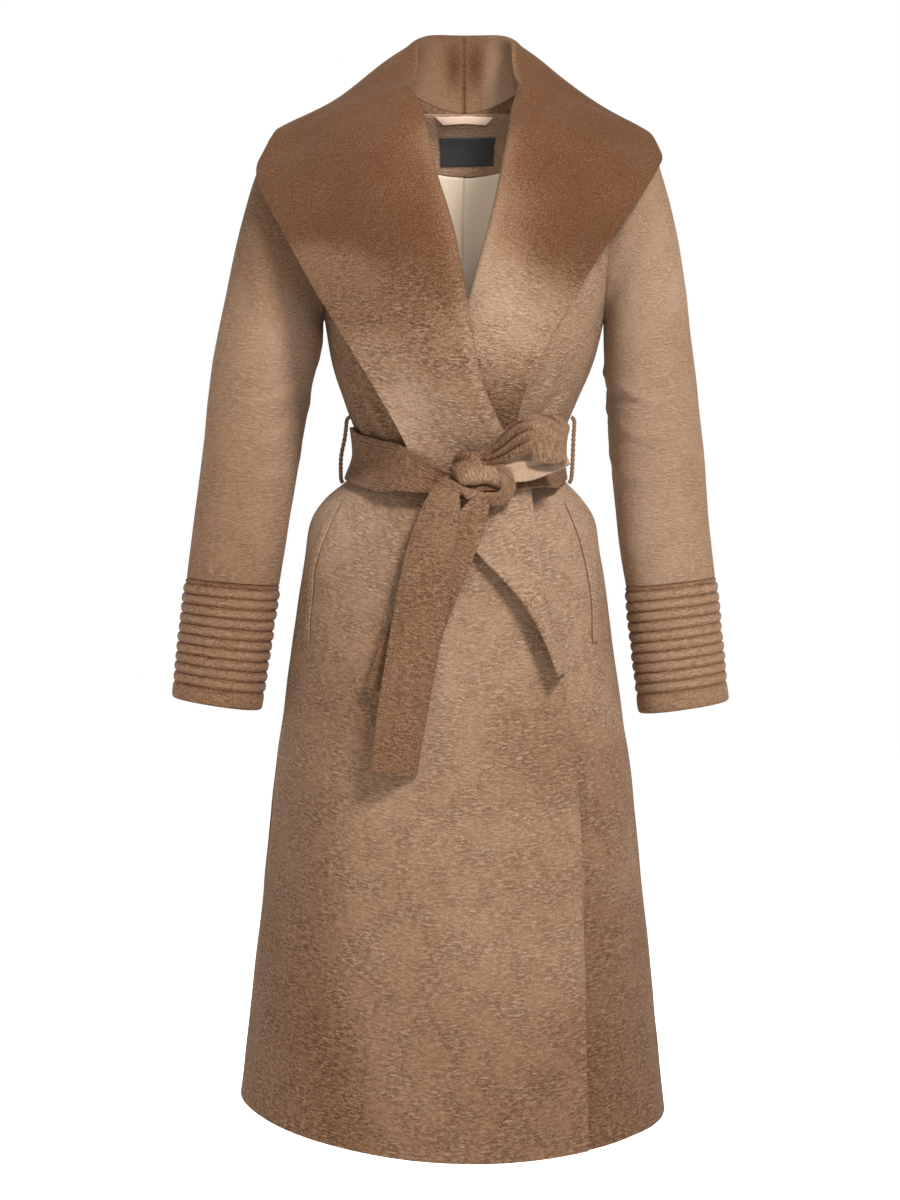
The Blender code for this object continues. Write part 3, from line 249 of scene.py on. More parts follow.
# Pleats of the bow: place across, slant, where each starts and ends along the loop, width and height.
BOW_PLEATS = (
    (0.50, 0.1, 0.02, 0.42, 0.15, 6.0),
    (-0.10, 0.3, 0.02, 0.34, 0.14, 5.0),
    (-0.62, 0.2, 0.04, 0.30, 0.12, 3.5),
    (0.95, -1.9, 0.25, 0.52, 0.11, 8.0),
    (0.30, -0.6, 0.32, 0.58, 0.20, 3.5),
    (-0.20, 0.5, 0.62, 1.0, 0.16, 1.5),
)
BOW_TURN = 0.6  # share of the loop's length that faces forward
BOW_SEAT = 1.9 * MM  # how far the loop is pressed back against the belt
# The pass over the knot: heights of its upper edge, its valley, its crest and its lower edge, and how far the
# first three stand forward.
KNOT_PASS = (
    (-9, -401, -404, -409, -415, 1.0, 1.0, 3.0),
    (-6, -395, -400, -411, -421, 4.5, 0.6, 7.5),
    (-1, -391, -399, -413, -425, 8.5, 0.8, 11.5),
    (7, -390, -401, -413, -426, 7.5, 4.0, 14.5),
    (16, -390, -402, -414, -426, 6.5, 6.5, 15.5),
    (25, -389, -402, -413, -424, 6.0, 6.5, 15.0),
    (33, -386, -401, -414, -426, 6.0, 6.5, 15.5),
    (42, -382, -400, -416, -430, 5.5, 6.0, 14.0),
    (49, -380, -399, -416, -430, 3.5, 5.0, 10.0),
    (55, -384, -397, -411, -422, 0.8, 2.5, 4.0),
)
# Rolls beside the pass: x, z, half height, half depth and how far the middle stands forward.
KNOT_TURN = (
    (30, -402, 4.0, 3.0, 3), (37, -406, 5.5, 4.0, 8), (43, -410, 6.8, 5.0, 11), (48, -418, 7.8, 5.6, 13),
    (50, -428, 8.0, 5.6, 13), (46, -436, 7.8, 5.2, 12), (36, -440, 7.4, 4.8, 11), (25, -439, 7.0, 4.4, 10),
    (13, -436, 6.4, 4.2, 9), (4, -431, 5.2, 3.6, 7), (-3, -424, 3.0, 2.4, 4),
)
KNOT_FOLD = (
    (-6, -424, 2.5, 2.0, 3), (-6, -434, 4.5, 2.8, 4), (-5, -446, 5.0, 2.8, 4), (-3, -458, 3.5, 2.2, 3),
    (-2, -466, 2.0, 1.5, 1),
)
LOOP_CORD = 4.4 * MM  # thickness of a thread loop that carries the belt
LOOP_TOP_Z, LOOP_LOW_Z = -350 * MM, -425 * MM
LOOP_LEAN = {-1: 5 * MM, 1: 0}  # how much further out each loop stands at its lower end
LOOP_Y = 4 * MM  # just behind the side seam
LOOP_STAND = 8 * MM  # how far the middle of a loop stands off the middle of the belt

# --- Pockets and the inside of the back neck ------------------------------------------------------
POCKET_RIGHT = ((-129, -447), (-148, -496), (-158.5, -550), (-161.5, -594))  # x and z seen from the front
POCKET_LEFT = ((114.5, -446), (131.5, -492), (141.5, -548), (143, -594))
WELT_WIDTH = 11 * MM
WELT = 2.0 * MM
PLEAT_HEIGHT = 3.5 * MM
LABEL_HALF_WIDTH = 29 * MM
LABEL_DROPS = (22 * MM, 53 * MM)  # how far under the seam the label starts and ends
LABEL_SHIFT = 2 * MM  # how far its middle lies to the left of the coat's
HANGER_HALF_ANGLE = 28
HANGER_DROP = 2.4 * MM  # how far under the seam the hanger's upper edge lies
HANGER_END = 0.8 * MM  # height of the strip at its two ends
HANGER_MORE = 5.4 * MM  # how much higher it is between them
HANGER_STAND = 2.4 * MM  # how far the strip stands off the facing
INSIDE_ANGLES = (131, 229)  # the facing and the lining reach from one to the other
PLEAT_STEEP, PLEAT_SOFT = 0.45, 5.0  # degrees over which the pleat falls to the right and to the left
SEAM_RING = 0.12  # the middle of the back neck seam
FACING = 1.6 * MM

# --- How the nap lies, and painted light and shade ------------------------------------------------
# Places seen from the front, x and z, and how light the cloth looks there, from 0 to 1.
# The lightness is partly the nap's own and partly painted light and shade: lighter where the coat lies lit,
# darker where it lies in shade, on the hidden sides too.
NAP_AND_SHADE_COLLAR_RIGHT = (
    (-32, 22, 0.04), (-80, -7, 0.00), (-116, -51, 0.00), (-169, -83, 0.04), (-90, -130, 0.00),
    (-60, -165, 0.02), (-64, -230, 0.24), (-21, -288, 0.40), (20, -325, 0.46), (-90, -300, 0.52),
    (-70, -340, 0.86), (-11, -357, 0.62), (57, -494, 0.74), (94, -567, 0.66), (0, -60, 0.12),
    (-30, -110, 0.06), (-110, -230, 0.28), (-40, -200, 0.12),
)
NAP_AND_SHADE_COLLAR_LEFT = (
    (42, 22, 0.06), (80, -7, 0.00), (126, -51, 0.00), (175, -94, 0.04), (130, -120, 0.00),
    (70, -95, 0.00), (70, -165, 0.00), (88, -192, 0.00), (110, -208, 0.04), (150, -185, 0.02),
    (36, -152, 0.50), (44, -186, 0.78), (64, -214, 0.88), (90, -236, 0.78), (118, -244, 0.62),
    (28, -215, 0.85), (125, -160, 0.00), (42, -272, 0.84), (52, -312, 0.56), (66, -340, 0.18),
    (34, -125, 0.36), (30, -95, 0.30),
)
NAP_AND_SHADE_FRONT_RIGHT = (
    (-116, -325, 0.30), (-116, -546, 0.58), (36, -599, 0.74), (105, -546, 0.66), (-200, -778, 0.30),
    (0, -820, 0.60), (105, -862, 0.58), (75, -930, 0.62), (-70, -880, 0.52), (-190, -900, 0.22),
    (112, -1010, 0.34), (112, -660, 0.44), (-126, -466, 1.00), (-11, -999, 0.46), (-195, -1036, 0.20),
    (31, -1104, 0.36), (-60, -470, 0.45), (-150, -560, 0.46), (-165, -660, 0.36), (-60, -740, 0.62),
    (-205, -700, 0.42),
)
NAP_AND_SHADE_FRONT_LEFT = (
    (89, -304, 0.75), (60, -350, 0.80), (110, -340, 0.40), (147, -504, 0.80), (157, -778, 0.40),
    (168, -960, 0.28), (110, -470, 0.85), (175, -1070, 0.18), (140, -1090, 0.16), (125, -560, 0.66),
    (165, -600, 0.62),
)
# Painted light on the sleeves' inner sides, which lie in the body's shade.
NAP_AND_SHADE_SLEEVE_RIGHT = (
    (-195, -120, 0.20), (-195, -190, 0.34), (-225, -330, 0.40), (-168, -210, 0.62), (-165, -270, 0.95),
    (-168, -340, 1.00), (-176, -410, 1.00), (-190, -480, 0.80), (-245, -430, 0.34), (-262, -520, 0.30),
    (-215, -400, 0.56), (-225, -500, 0.46),
)
NAP_AND_SHADE_SLEEVE_LEFT = (
    (205, -120, 0.56), (205, -188, 0.82), (215, -367, 0.70), (172, -330, 0.95), (176, -420, 1.00),
    (186, -500, 1.00), (240, -300, 0.56), (250, -400, 0.54), (262, -500, 0.50), (222, -500, 0.70),
)
NAP_AND_SHADE_BACK = (
    (0, -150, 0.35), (0, -300, 0.50), (0, -600, 0.62), (0, -850, 0.52), (0, -1080, 0.36),
    (-150, -900, 0.40), (150, -900, 0.42),
)
NAP_AND_SHADE_BELT = ((-90, -415, 0.18), (-60, -415, 0.20), (-25, -420, 0.24), (100, -410, 0.26), (50, -425, 0.24))
NAP_AND_SHADE_TAIL = ((-10, -440, 0.34), (-35, -560, 0.26), (-60, -700, 0.24))
NAP_AND_SHADE_BOW = (
    (48, -385, 0.20), (62, -366, 0.34), (70, -385, 0.34), (82, -362, 0.52), (96, -370, 0.44),
    (108, -385, 0.34), (90, -394, 0.56),
)
# Painted highlight along the crest of the knot's roll, painted shade in the dimple at its left end.
NAP_AND_SHADE_KNOT = (
    (-7, -405, 0.05), (5, -395, 0.20), (25, -393, 0.22), (45, -388, 0.26), (5, -412, 0.62),
    (20, -413, 0.70), (38, -414, 0.70), (50, -410, 0.42), (57, -424, 0.46), (50, -437, 0.34),
    (34, -441, 0.30), (14, -436, 0.44), (-5, -446, 0.62),
)
NAP_AND_SHADE_CUFF = ((-275, -600, 0.20), (-225, -600, 0.34), (270, -600, 0.34), (225, -600, 0.50))
# Painted light on the facing inside the neck.
NAP_AND_SHADE_FACING = ((0, -20, 0.78), (0, -60, 0.86))
NAP_PLAIN = ((0, -400, 0.45),)
STAND_LIGHT = 0.42  # how light the nap looks on the collar's stand inside the neck, raised as painted light
ROLL_COLUMN = 17  # the column of a collar half along which a highlight is painted on its roll

# --- Creases --------------------------------------------------------------------------------------
# Each is its side (-1 front, 1 back), its line in x and z, its width and its height.
BODICE_RIGHT_CREASES = (
    (-1, ((-108, -270), (-102, -305), (-94, -340), (-80, -370), (-62, -392)), 5, 3.2),
    (-1, ((-122, -300), (-113, -325), (-105, -352), (-95, -380)), 5, 2.6),
    (-1, ((-124, -345), (-118, -365), (-110, -385)), 4, 1.8),
    (-1, ((-84, -436), (-83, -446), (-84, -460)), 4, 2.0),
    (-1, ((-62, -440), (-63, -455), (-60, -480)), 5, 1.5),
    (-1, ((-112, -440), (-108, -455), (-106, -475)), 5, 1.4),
    (-1, ((-30, -500), (-20, -640), (-5, -800)), 22, 2.2),
    (-1, ((-110, -620), (-128, -800), (-150, -1040)), 30, 3.2),
    (-1, ((60, -720), (70, -880), (80, -1080)), 26, 3.0),
)
BODICE_LEFT_CREASES = (
    (-1, ((112, -270), (100, -305), (80, -340), (58, -372)), 5, 3.0),
    (-1, ((118, -300), (108, -330), (92, -362), (80, -385)), 4.5, 2.2),
    (-1, ((80, -436), (82, -450), (80, -475)), 4, 1.8),
    (-1, ((104, -436), (104, -450), (108, -470)), 4, 1.4),
    (-1, ((150, -620), (158, -800), (165, -1000)), 26, 3.0),
)
BACK_CREASES = (
    (1, ((-92, -300), (-84, -340), (-70, -385)), 6, 2.8),
    (1, ((-50, -310), (-44, -345), (-40, -385)), 6, 2.4),
    (1, ((-4, -330), (0, -355), (-4, -388)), 6, 1.8),
    (1, ((40, -305), (34, -345), (30, -385)), 6, 2.4),
    (1, ((84, -295), (74, -340), (58, -385)), 6, 2.8),
    (1, ((-78, -438), (-84, -460), (-92, -500)), 6, 2.4),
    (1, ((-36, -440), (-38, -460), (-42, -510)), 6, 2.4),
    (1, ((12, -440), (10, -465), (12, -500)), 6, 2.0),
    (1, ((56, -438), (60, -465), (66, -505)), 6, 2.4),
    (1, ((-120, -560), (-140, -760), (-165, -1040)), 28, 5.0),
    (1, ((-20, -600), (-26, -800), (-34, -1080)), 30, 5.0),
    (1, ((80, -580), (96, -780), (116, -1060)), 28, 5.0),
    (1, ((-90, -150), (-110, -210), (-118, -270)), 12, 2.2),
    (1, ((80, -150), (98, -210), (104, -270)), 12, 2.2),
)
SLEEVE_RIGHT_CREASES = (
    (-1, ((-152, -290), (-182, -322), (-226, -340)), 7, 2.0),
    (-1, ((-170, -352), (-200, -372), (-240, -380)), 8, 1.8),
    (-1, ((-180, -410), (-214, -418), (-256, -412)), 7, 1.5),
    (1, ((-150, -280), (-186, -310), (-232, -318)), 9, 3.0),
    (1, ((-160, -330), (-196, -350), (-244, -350)), 9, 3.0),
    (1, ((-176, -390), (-214, -400), (-256, -392)), 9, 2.4),
)
SLEEVE_LEFT_CREASES = (
    (-1, ((140, -290), (176, -322), (214, -338)), 7, 2.0),
    (-1, ((156, -352), (190, -372), (226, -380)), 8, 1.8),
    (-1, ((168, -410), (200, -418), (240, -412)), 7, 1.5),
    (1, ((136, -280), (172, -310), (216, -318)), 9, 3.0),
    (1, ((148, -330), (184, -350), (230, -350)), 9, 3.0),
    (1, ((162, -390), (198, -400), (240, -392)), 9, 2.4),
)

# --- Fineness of the cloth ------------------------------------------------------------------------
BACK_COLUMNS, BACK_ROWS = 151, 215
FRONT_COLUMNS = 76
NECK_STEPS = 48  # stations of the collar from the centre back to the shoulder seam
SHOULDER_STEPS = 26  # from there to the front edge
LAPEL_STEPS = 9  # stations for each row of a lapel's table
LOWER_STEPS = {-1: 84, 1: 104}  # rows of each front below its lapel
FALL_POINTS = 46
ROLL_POINTS = 11
SLEEVE_AROUND, SLEEVE_LONG = 80, 130
CUFF_AROUND = 96
BELT_ROUND = 44
TAIL_ACROSS, BOW_ACROSS = 25, 21
LOOP_STEPS = 90
KNOT_LEFT, KNOT_RIGHT = -8 * MM, 46 * MM  # where the belt band goes under the knot
KNOT_SEAT = -136 * MM  # where the belt lies under the knot, where nothing nearer is found
KNOT_LOW_Z = -418 * MM  # below it the rolls of the knot hang free in front of the coat
FACING_LOW_RING = 2.8  # ring at which the neck facing ends and the lining starts
LINING_LOW_RING = 9.2
EASE_HEIGHT = 1.6 * MM  # how uneven worn cloth lies
EASE_WIDE, EASE_NARROW = 0.085, 0.040  # how far apart its swells are, in metres
COAT_MIDDLE = np.array([-11 * MM, 0.0, 0.0])  # what the body's creases go round
CREASE_STEPS = 70


# --- Curves and surfaces --------------------------------------------------------------------------
def through(rows, at):
    """A smooth curve through the rows of a table, read at row positions such as 2.5. It never overshoots."""
    rows = np.asarray(rows, float)
    last = len(rows) - 1
    at = np.clip(np.atleast_1d(np.asarray(at, float)), 0, last)
    low = np.minimum(at.astype(int), last - 1)
    share = (at - low)[..., None]
    step = np.diff(rows, axis=0)
    slope = np.concatenate([step[:1], (step[:-1] + step[1:]) / 2, step[-1:]])
    steepest = 3 * np.minimum(np.abs(step[:-1]), np.abs(step[1:])) * (step[:-1] * step[1:] > 0)
    slope[1:-1] = np.clip(slope[1:-1], -steepest, steepest)
    start, end, here = slope[low], slope[low + 1], step[low]
    bend = 3 * here - 2 * start - end
    turn = start + end - 2 * here
    return rows[low] + share * (start + share * (bend + share * turn))


def unit(vectors):
    return vectors / np.maximum(np.linalg.norm(vectors, axis=-1, keepdims=True), 1e-9)


def grid_normals(points, closed=False):
    """The unit normal at each point of a grid, to the left of its rows seen along its columns."""
    if closed:
        wide = np.concatenate([points[:, -1:], points, points[:, :1]], axis=1)
        across = (wide[:, 2:] - wide[:, :-2]) / 2
    else:
        across = np.gradient(points, axis=1)
    return unit(np.cross(across, np.gradient(points, axis=0)))


def fold_lift(angle, ring):
    """How far the largest folds raise the body at these angles and rings."""
    lift = np.zeros(np.broadcast(angle, ring).shape)
    for angle_low, angle_high, spread, ring_low, ring_high, height in FOLDS:
        along = np.clip((ring - ring_low) / (ring_high - ring_low), 0, 1)
        centre = angle_low + (angle_high - angle_low) * along
        away = (angle - centre + 180) % 360 - 180
        fade = np.clip(1.2 * (1 - along), 0, 1) * np.clip((ring_low - ring) * 2.5 + 0.2, 0, 1)
        lift = lift + height * MM * np.exp(-((away / spread) ** 2)) * fade
    return lift


def body_place(angle, ring):
    """Points of the body's middle surface, with no fold. Angle 0 is the centre front, 90 the left side."""
    angle, ring = np.broadcast_arrays(np.asarray(angle, float), np.asarray(ring, float))
    sizes = through(BODY, ring.ravel()).reshape(ring.shape + (8,)) * MM
    half_x, mid_x, front_y, back_y, side_z, front_z, back_z, tilt = np.moveaxis(sizes, -1, 0)
    turn = np.radians(angle)
    sine, cosine = np.sin(turn), np.cos(turn)
    full = 1 + SQUARE * np.sin(2 * turn) ** 2
    facing = np.abs(cosine) ** DIP
    x = mid_x + half_x * sine * full
    y = np.where(cosine > 0, front_y, back_y) * np.abs(cosine) * full
    z = side_z + (np.where(cosine > 0, front_z, back_z) - side_z) * facing + tilt * sine
    return np.stack([x, y, z], axis=-1)


def body_normal(angle, ring):
    step = 0.01
    turned = body_place(angle + 1.0, ring) - body_place(angle - 1.0, ring)
    lower = np.minimum(ring + step, len(BODY) - 1)
    upper = np.maximum(ring - step, 0)
    return unit(np.cross(body_place(angle, lower) - body_place(angle, upper), turned))


def body_points(angle, ring, lift=0.0):
    """Points of the body's middle surface, moved out by lift and by its folds."""
    angle, ring = np.broadcast_arrays(np.asarray(angle, float), np.asarray(ring, float))
    out = np.asarray(lift) + fold_lift(angle, ring)
    return body_place(angle, ring) + body_normal(angle, ring) * np.broadcast_to(out, angle.shape)[..., None]


def locate(x, z):
    """The angles and rings of the front at which the body is seen at x, z from the front."""
    x, z = np.asarray(x, float), np.asarray(z, float)
    angle = np.zeros(x.shape)
    for _ in range(30):
        facing = np.abs(np.cos(np.radians(angle))) ** DIP
        low, high = np.zeros(x.shape), np.full(x.shape, len(BODY) - 1.0)
        for _ in range(24):
            ring = (low + high) / 2
            half_x, mid_x, _, _, side_z, front_z, _, tilt = (through(BODY, ring) * MM).T
            above = side_z + (front_z - side_z) * facing + tilt * np.sin(np.radians(angle)) > z
            low, high = np.where(above, ring, low), np.where(above, high, ring)
        full = 1 + SQUARE * np.sin(np.radians(2 * angle)) ** 2
        sine = np.clip((x - mid_x) / (half_x * full), -0.999, 0.999)
        angle += 0.6 * (np.degrees(np.arcsin(sine)) - angle)
    return angle, ring


class FrontEdge:
    """The seam between one half of the collar and the body, and on to the hem.

    It runs from the centre back round the neck seam, down the front beside the roll line and to the hem.
    """

    def __init__(self, neck, lapel, lower, side):
        self.side = side  # -1 right, 1 left
        roll = np.array([row[:2] for row in lapel], float) * MM
        along = unit(np.gradient(roll, axis=0))
        away = np.stack([along[:, 1], -along[:, 0]], axis=-1) * side
        inset = np.full(len(lapel), ROLL_RADIUS + EDGE_LAP)
        inset[-1] = 2 * MM if side < 0 else inset[-1]
        edge = roll - away * inset[:, None]
        start = body_place(NECK_END * side, 0.0)
        edge[0] = start[[0, 2]]
        self.seen = np.concatenate([edge, np.array(lower, float) * MM])  # the edge below the neck, as x and z
        self.neck = [180.0 * side] + [(row[0] + 180) % 360 - 180 for row in neck[1:]]
        self.neck.append(NECK_END * side)
        self.first = len(neck)
        end = self.first + len(lapel) - 1
        self.neck_stations = np.concatenate(
            [np.linspace(0, 3, NECK_STEPS + 1), np.linspace(3, self.first, SHOULDER_STEPS + 1)[1:]]
        )
        evenly = np.linspace(self.first, end, (len(lapel) - 1) * LAPEL_STEPS + 1)[1:]
        self.lapel_stations = evenly
        self.lower_stations = np.linspace(end, end + len(lower), LOWER_STEPS[side] + 1)[1:]
        self.collar_stations = np.concatenate([self.neck_stations, self.lapel_stations])

    def at(self, station):
        """Angle and ring at each station."""
        station = np.asarray(station, float)
        x, z = through(self.seen, station - self.first).T
        angle, ring = locate(x, z)
        ring[station > self.first + len(self.seen) - 1.01] = len(BODY) - 1
        on_neck = station <= self.first
        angle = np.where(on_neck, np.interp(station, np.arange(len(self.neck)), self.neck), angle)
        return angle, np.where(on_neck, 0.0, ring)

    def front_rows(self):
        """Angle of the edge and ring at each row of the front, from the neck to the hem."""
        stations = np.concatenate([[self.first], self.lapel_stations, self.lower_stations])
        return self.at(stations)


# --- Pieces ---------------------------------------------------------------------------------------
def tree(points, closed=False):
    """A search tree of a grid of points."""
    rows, columns = points.shape[:2]
    across = columns if closed else columns - 1
    row, column = np.meshgrid(np.arange(rows - 1), np.arange(across), indexing="ij")
    beside = (column + 1) % columns
    corners = [
        row * columns + column,
        row * columns + beside,
        (row + 1) * columns + beside,
        (row + 1) * columns + column,
    ]
    faces = np.stack(corners, axis=-1).reshape(-1, 4).tolist()
    return BVHTree.FromPolygons(points.reshape(-1, 3).tolist(), faces)


def highest_near(values, times=1):
    """The highest value at each place of a grid and the eight around it."""
    rows, columns = values.shape
    for _ in range(times):
        padded = np.pad(values, 1, mode="edge")
        values = np.max([padded[r : r + rows, c : c + columns] for r in range(3) for c in range(3)], axis=0)
    return values


def softened(values, times):
    """The mean of each place of a grid and the eight around it, taken several times."""
    rows, columns = values.shape[:2]
    edges = ((1, 1), (1, 1)) + ((0, 0),) * (values.ndim - 2)
    for _ in range(times):
        padded = np.pad(values, edges, mode="edge")
        values = np.mean([padded[r : r + rows, c : c + columns] for r in range(3) for c in range(3)], axis=0)
    return values


def lift_over(points, out, below, half_wall, air=AIR):
    """How far each point of a grid has to move out to lie clear over the layers below it.

    Each layer below is a pair: its search tree and half the thickness of its wall.
    """
    need = np.zeros(points.shape[:2])
    for index in np.ndindex(need.shape):
        way = Vector(out[index])
        start = Vector(points[index]) + way * REACH
        for surface, its_half_wall in below:
            hit = surface.ray_cast(start, -way, 1.8 * REACH)
            if hit[0] is not None:
                need[index] = max(need[index], REACH - hit[3] + its_half_wall + half_wall + air)
    return highest_near(need)


def spread_out(need, passes, soft=3):
    """The same lifts with their neighbours raised towards them, so that the cloth rises gradually."""
    lift = need.copy()
    for _ in range(passes):
        padded = np.pad(lift, 1, mode="edge")
        mean = (padded[:-2, 1:-1] + padded[2:, 1:-1] + padded[1:-1, :-2] + padded[1:-1, 2:]) / 4
        lift = np.maximum(need, mean)
    return softened(highest_near(lift, soft), soft)


def run_lengths(points, axis):
    """How far each point lies along its row or column, measured on the cloth."""
    steps = np.linalg.norm(np.diff(points, axis=axis), axis=-1)
    start = np.zeros_like(steps.take([0], axis=axis))
    return np.concatenate([start, np.cumsum(steps, axis=axis)], axis=axis)


def nap_and_shade_lie(points, places, crinkle=1.0, reach=NAP_AND_SHADE_SPREAD):
    """How light each point looks, from the nap and from painted light and shade, blended between places, and
    how strongly it is crinkled.
    """
    spots = np.array(places, float)
    near = np.zeros(points.shape[:2])
    total = np.zeros(points.shape[:2])
    for x, z, light in spots:
        away = (points[..., 0] - x * MM) ** 2 + (points[..., 2] - z * MM) ** 2
        weight = np.exp(-away / (2 * reach**2)) + 1e-7 / (away + 0.01)
        near += weight * light
        total += weight
    return np.stack([near / total, np.broadcast_to(crinkle, near.shape)], axis=-1)


def cloth_grid(points, closed=False, closed_along=False, lie=None, level=False):
    """A grid of faces through the points, with its lengths across and along as a UV map in metres.

    lie gives two values for each point: how light nap and painted light and shade make it, and how crinkled
    it is.
    Lengths along are measured up from the last row, or are the same all along each row when level.
    """
    if lie is None:
        lie = nap_and_shade_lie(points, NAP_PLAIN, 0.5)
    if closed:
        points = np.concatenate([points, points[:, :1]], axis=1)
        lie = np.concatenate([lie, lie[:, :1]], axis=1)
    if closed_along:
        points = np.concatenate([points, points[:1]], axis=0)
        lie = np.concatenate([lie, lie[:1]], axis=0)
    rows, columns = points.shape[:2]
    across, along = run_lengths(points, 1), run_lengths(points, 0)
    across = across - across[:, columns // 2][:, None]
    along = np.broadcast_to(along.mean(axis=1, keepdims=True), along.shape) if level else along[-1:] - along
    bm = bmesh.new()
    bmesh.ops.create_grid(bm, x_segments=columns - 1, y_segments=rows - 1, size=1.0)
    spot = {}
    # The first value of lie is the nap's lightness together with painted light and shade.
    light, crinkle = (bm.verts.layers.float.new(name) for name in ("nap_and_painted_shade", "nap_crinkle"))
    for vertex in bm.verts:
        column = round((vertex.co.x + 1) / 2 * (columns - 1))
        row = round((vertex.co.y + 1) / 2 * (rows - 1))
        vertex.co = points[row, column]
        vertex[light], vertex[crinkle] = lie[row, column]
        spot[vertex] = (across[row, column], along[row, column])
    lengths = bm.loops.layers.uv.new("cloth")
    for face in bm.faces:
        for loop in face.loops:
            loop[lengths].uv = spot[loop.vert]
    if closed or closed_along:
        bmesh.ops.remove_doubles(bm, verts=bm.verts, dist=0.01 * MM)
    return bm


def piece(name, bm, finish, node):
    """A piece of the coat in its place, with its finish, that rides on the coat and stands for its node."""
    bmesh.ops.recalc_face_normals(bm, faces=bm.faces)
    mesh = bpy.data.meshes.new(name)
    bm.to_mesh(mesh)
    bm.free()
    obj = bpy.data.objects.new(name, mesh)
    obj.data.materials.append(finish)
    obj.data.shade_smooth()
    bpy.context.scene.collection.objects.link(obj)
    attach(obj, "root")
    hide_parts(node)
    return obj


def thicken(obj, thickness, edge):
    """Gives a sheet its wall, with its rims rounded by edge."""
    solidify = obj.modifiers.new("wall", "SOLIDIFY")
    solidify.thickness = thickness
    solidify.offset = 0
    bevel = obj.modifiers.new("rim", "BEVEL")
    bevel.width = edge
    bevel.segments = 2
    bevel.limit_method = "ANGLE"
    bevel.angle_limit = math.radians(50)


def sheet(
    name, points, thickness, finish, node,
    closed=False, edge=0.9 * MM, lie=None, level=False,
):
    """A sheet of worn cloth around a grid of points of its middle surface."""
    obj = piece(name, cloth_grid(eased(points), closed=closed, lie=lie, level=level), finish, node)
    thicken(obj, thickness, edge)
    return obj


# --- Body -----------------------------------------------------------------------------------------
def even_rings(low, high, count, angle=180.0):
    """Rings that lie evenly down the body at that angle."""
    rings = np.linspace(low, high, 1500)
    line = body_place(np.full(rings.shape, angle), rings)
    down = np.concatenate([[0], np.cumsum(np.linalg.norm(np.diff(line, axis=0), axis=1))])
    return np.interp(np.linspace(0, down[-1], count), down, rings)


def seam_angle(ring):
    """Half the gap of a side seam, as an angle."""
    return np.degrees(SEAM / 2 / (through(BODY, ring)[:, 0] * MM))


def swell(points, spread, height, seed):
    """A gentle unevenness of the cloth, the same for every layer at a place."""
    flat = points.reshape(-1, 3)
    values = [noise.noise(Vector(place) / spread + Vector((seed, 0, 0))) for place in flat]
    return np.array(values).reshape(points.shape[:2]) * height


def eased(points):
    """The same sheet with the shared unevenness of worn cloth, moved out from the middle of the coat."""
    out = unit(points * LEVEL + np.array([0, 0, 1e-6]))
    wide = swell(points, EASE_WIDE, EASE_HEIGHT, 3.0)
    narrow = swell(points, EASE_NARROW, 0.4 * EASE_HEIGHT, 8.0)
    return points + out * (wide + narrow)[..., None]


def creased(points, creases, closed=False):
    """The same cloth with creases, each a soft ridge with a trough beside it that fades at both ends."""
    normals = grid_normals(points, closed)
    centre = points.mean(axis=1, keepdims=True) if closed else COAT_MIDDLE
    away = (points - centre) * LEVEL
    normals = normals * np.sign(np.sum(normals * away, axis=-1, keepdims=True).mean())
    lift = np.zeros(points.shape[:2])
    for side, line, width, height in creases:
        way = through(line, np.linspace(0, len(line) - 1, CREASE_STEPS)) * MM
        onward = unit(np.gradient(way, axis=0))
        across = points[..., [0, 2]][:, :, None] - way
        nearest = np.argmin(np.sum(across**2, axis=-1), axis=-1)
        off = np.take_along_axis(across, nearest[..., None, None], axis=2)[:, :, 0]
        ahead = onward[nearest]
        signed = off[..., 0] * ahead[..., 1] - off[..., 1] * ahead[..., 0]
        beyond = np.abs(np.sum(off * ahead, axis=-1)) / MM
        share = nearest / (CREASE_STEPS - 1)
        fade = np.clip(np.sin(np.pi * np.clip(share, 0.02, 0.98)), 0, 1) ** 0.7
        fade = fade * np.exp(-((beyond / width) ** 2))
        spread = signed / MM / (width * (0.85 + 0.3 * np.sin(5 * share + width)))
        shape = np.exp(-(spread**2)) - 0.75 * np.exp(-(((spread - 1.7) / 1.1) ** 2))
        waver = 1 + 0.3 * np.sin(9 * share + height)
        lift += (points[..., 1] * side > 0) * fade * shape * height * MM * waver
    return points + normals * lift[..., None]


def back_grid():
    """The back's middle surface, from one side seam round to the other."""
    rings = even_rings(0, len(BODY) - 1, BACK_ROWS)
    angle = np.linspace(90, 270, BACK_COLUMNS)[None, :] + np.zeros((BACK_ROWS, 1))
    angle[:, 0] += seam_angle(rings)
    angle[:, -1] -= seam_angle(rings)
    return body_points(angle, np.broadcast_to(rings[:, None], angle.shape))


def front_grid(edge, below=()):
    """A front's middle surface, laid over what is below it, and the lift of its edge at each row."""
    end, rings = edge.front_rows()
    start = edge.side * (90 - seam_angle(rings))
    share = np.linspace(0, 1, FRONT_COLUMNS)[None, :]
    angle = start[:, None] + (end - start)[:, None] * share
    ring = np.broadcast_to(rings[:, None], angle.shape)
    lift = np.zeros(angle.shape)
    if below:
        beyond = end[:, None] - edge.side * np.arange(1, 9)[None, :]  # where the roll of the lapel will lie
        wide = np.concatenate([angle, beyond], axis=1)
        wide_ring = np.broadcast_to(rings[:, None], wide.shape)
        need = lift_over(body_points(wide, wide_ring), body_normal(wide, wide_ring), below, CLOTH / 2)
        held = np.clip(np.arange(FRONT_COLUMNS) / FRONT_COLUMNS / 0.34, 0, 1)[None, :]
        lift = spread_out(need, 420)[:, :FRONT_COLUMNS] * held * np.clip(ring, 0, 1)
    return body_points(angle, ring, lift), lift[:, -1]


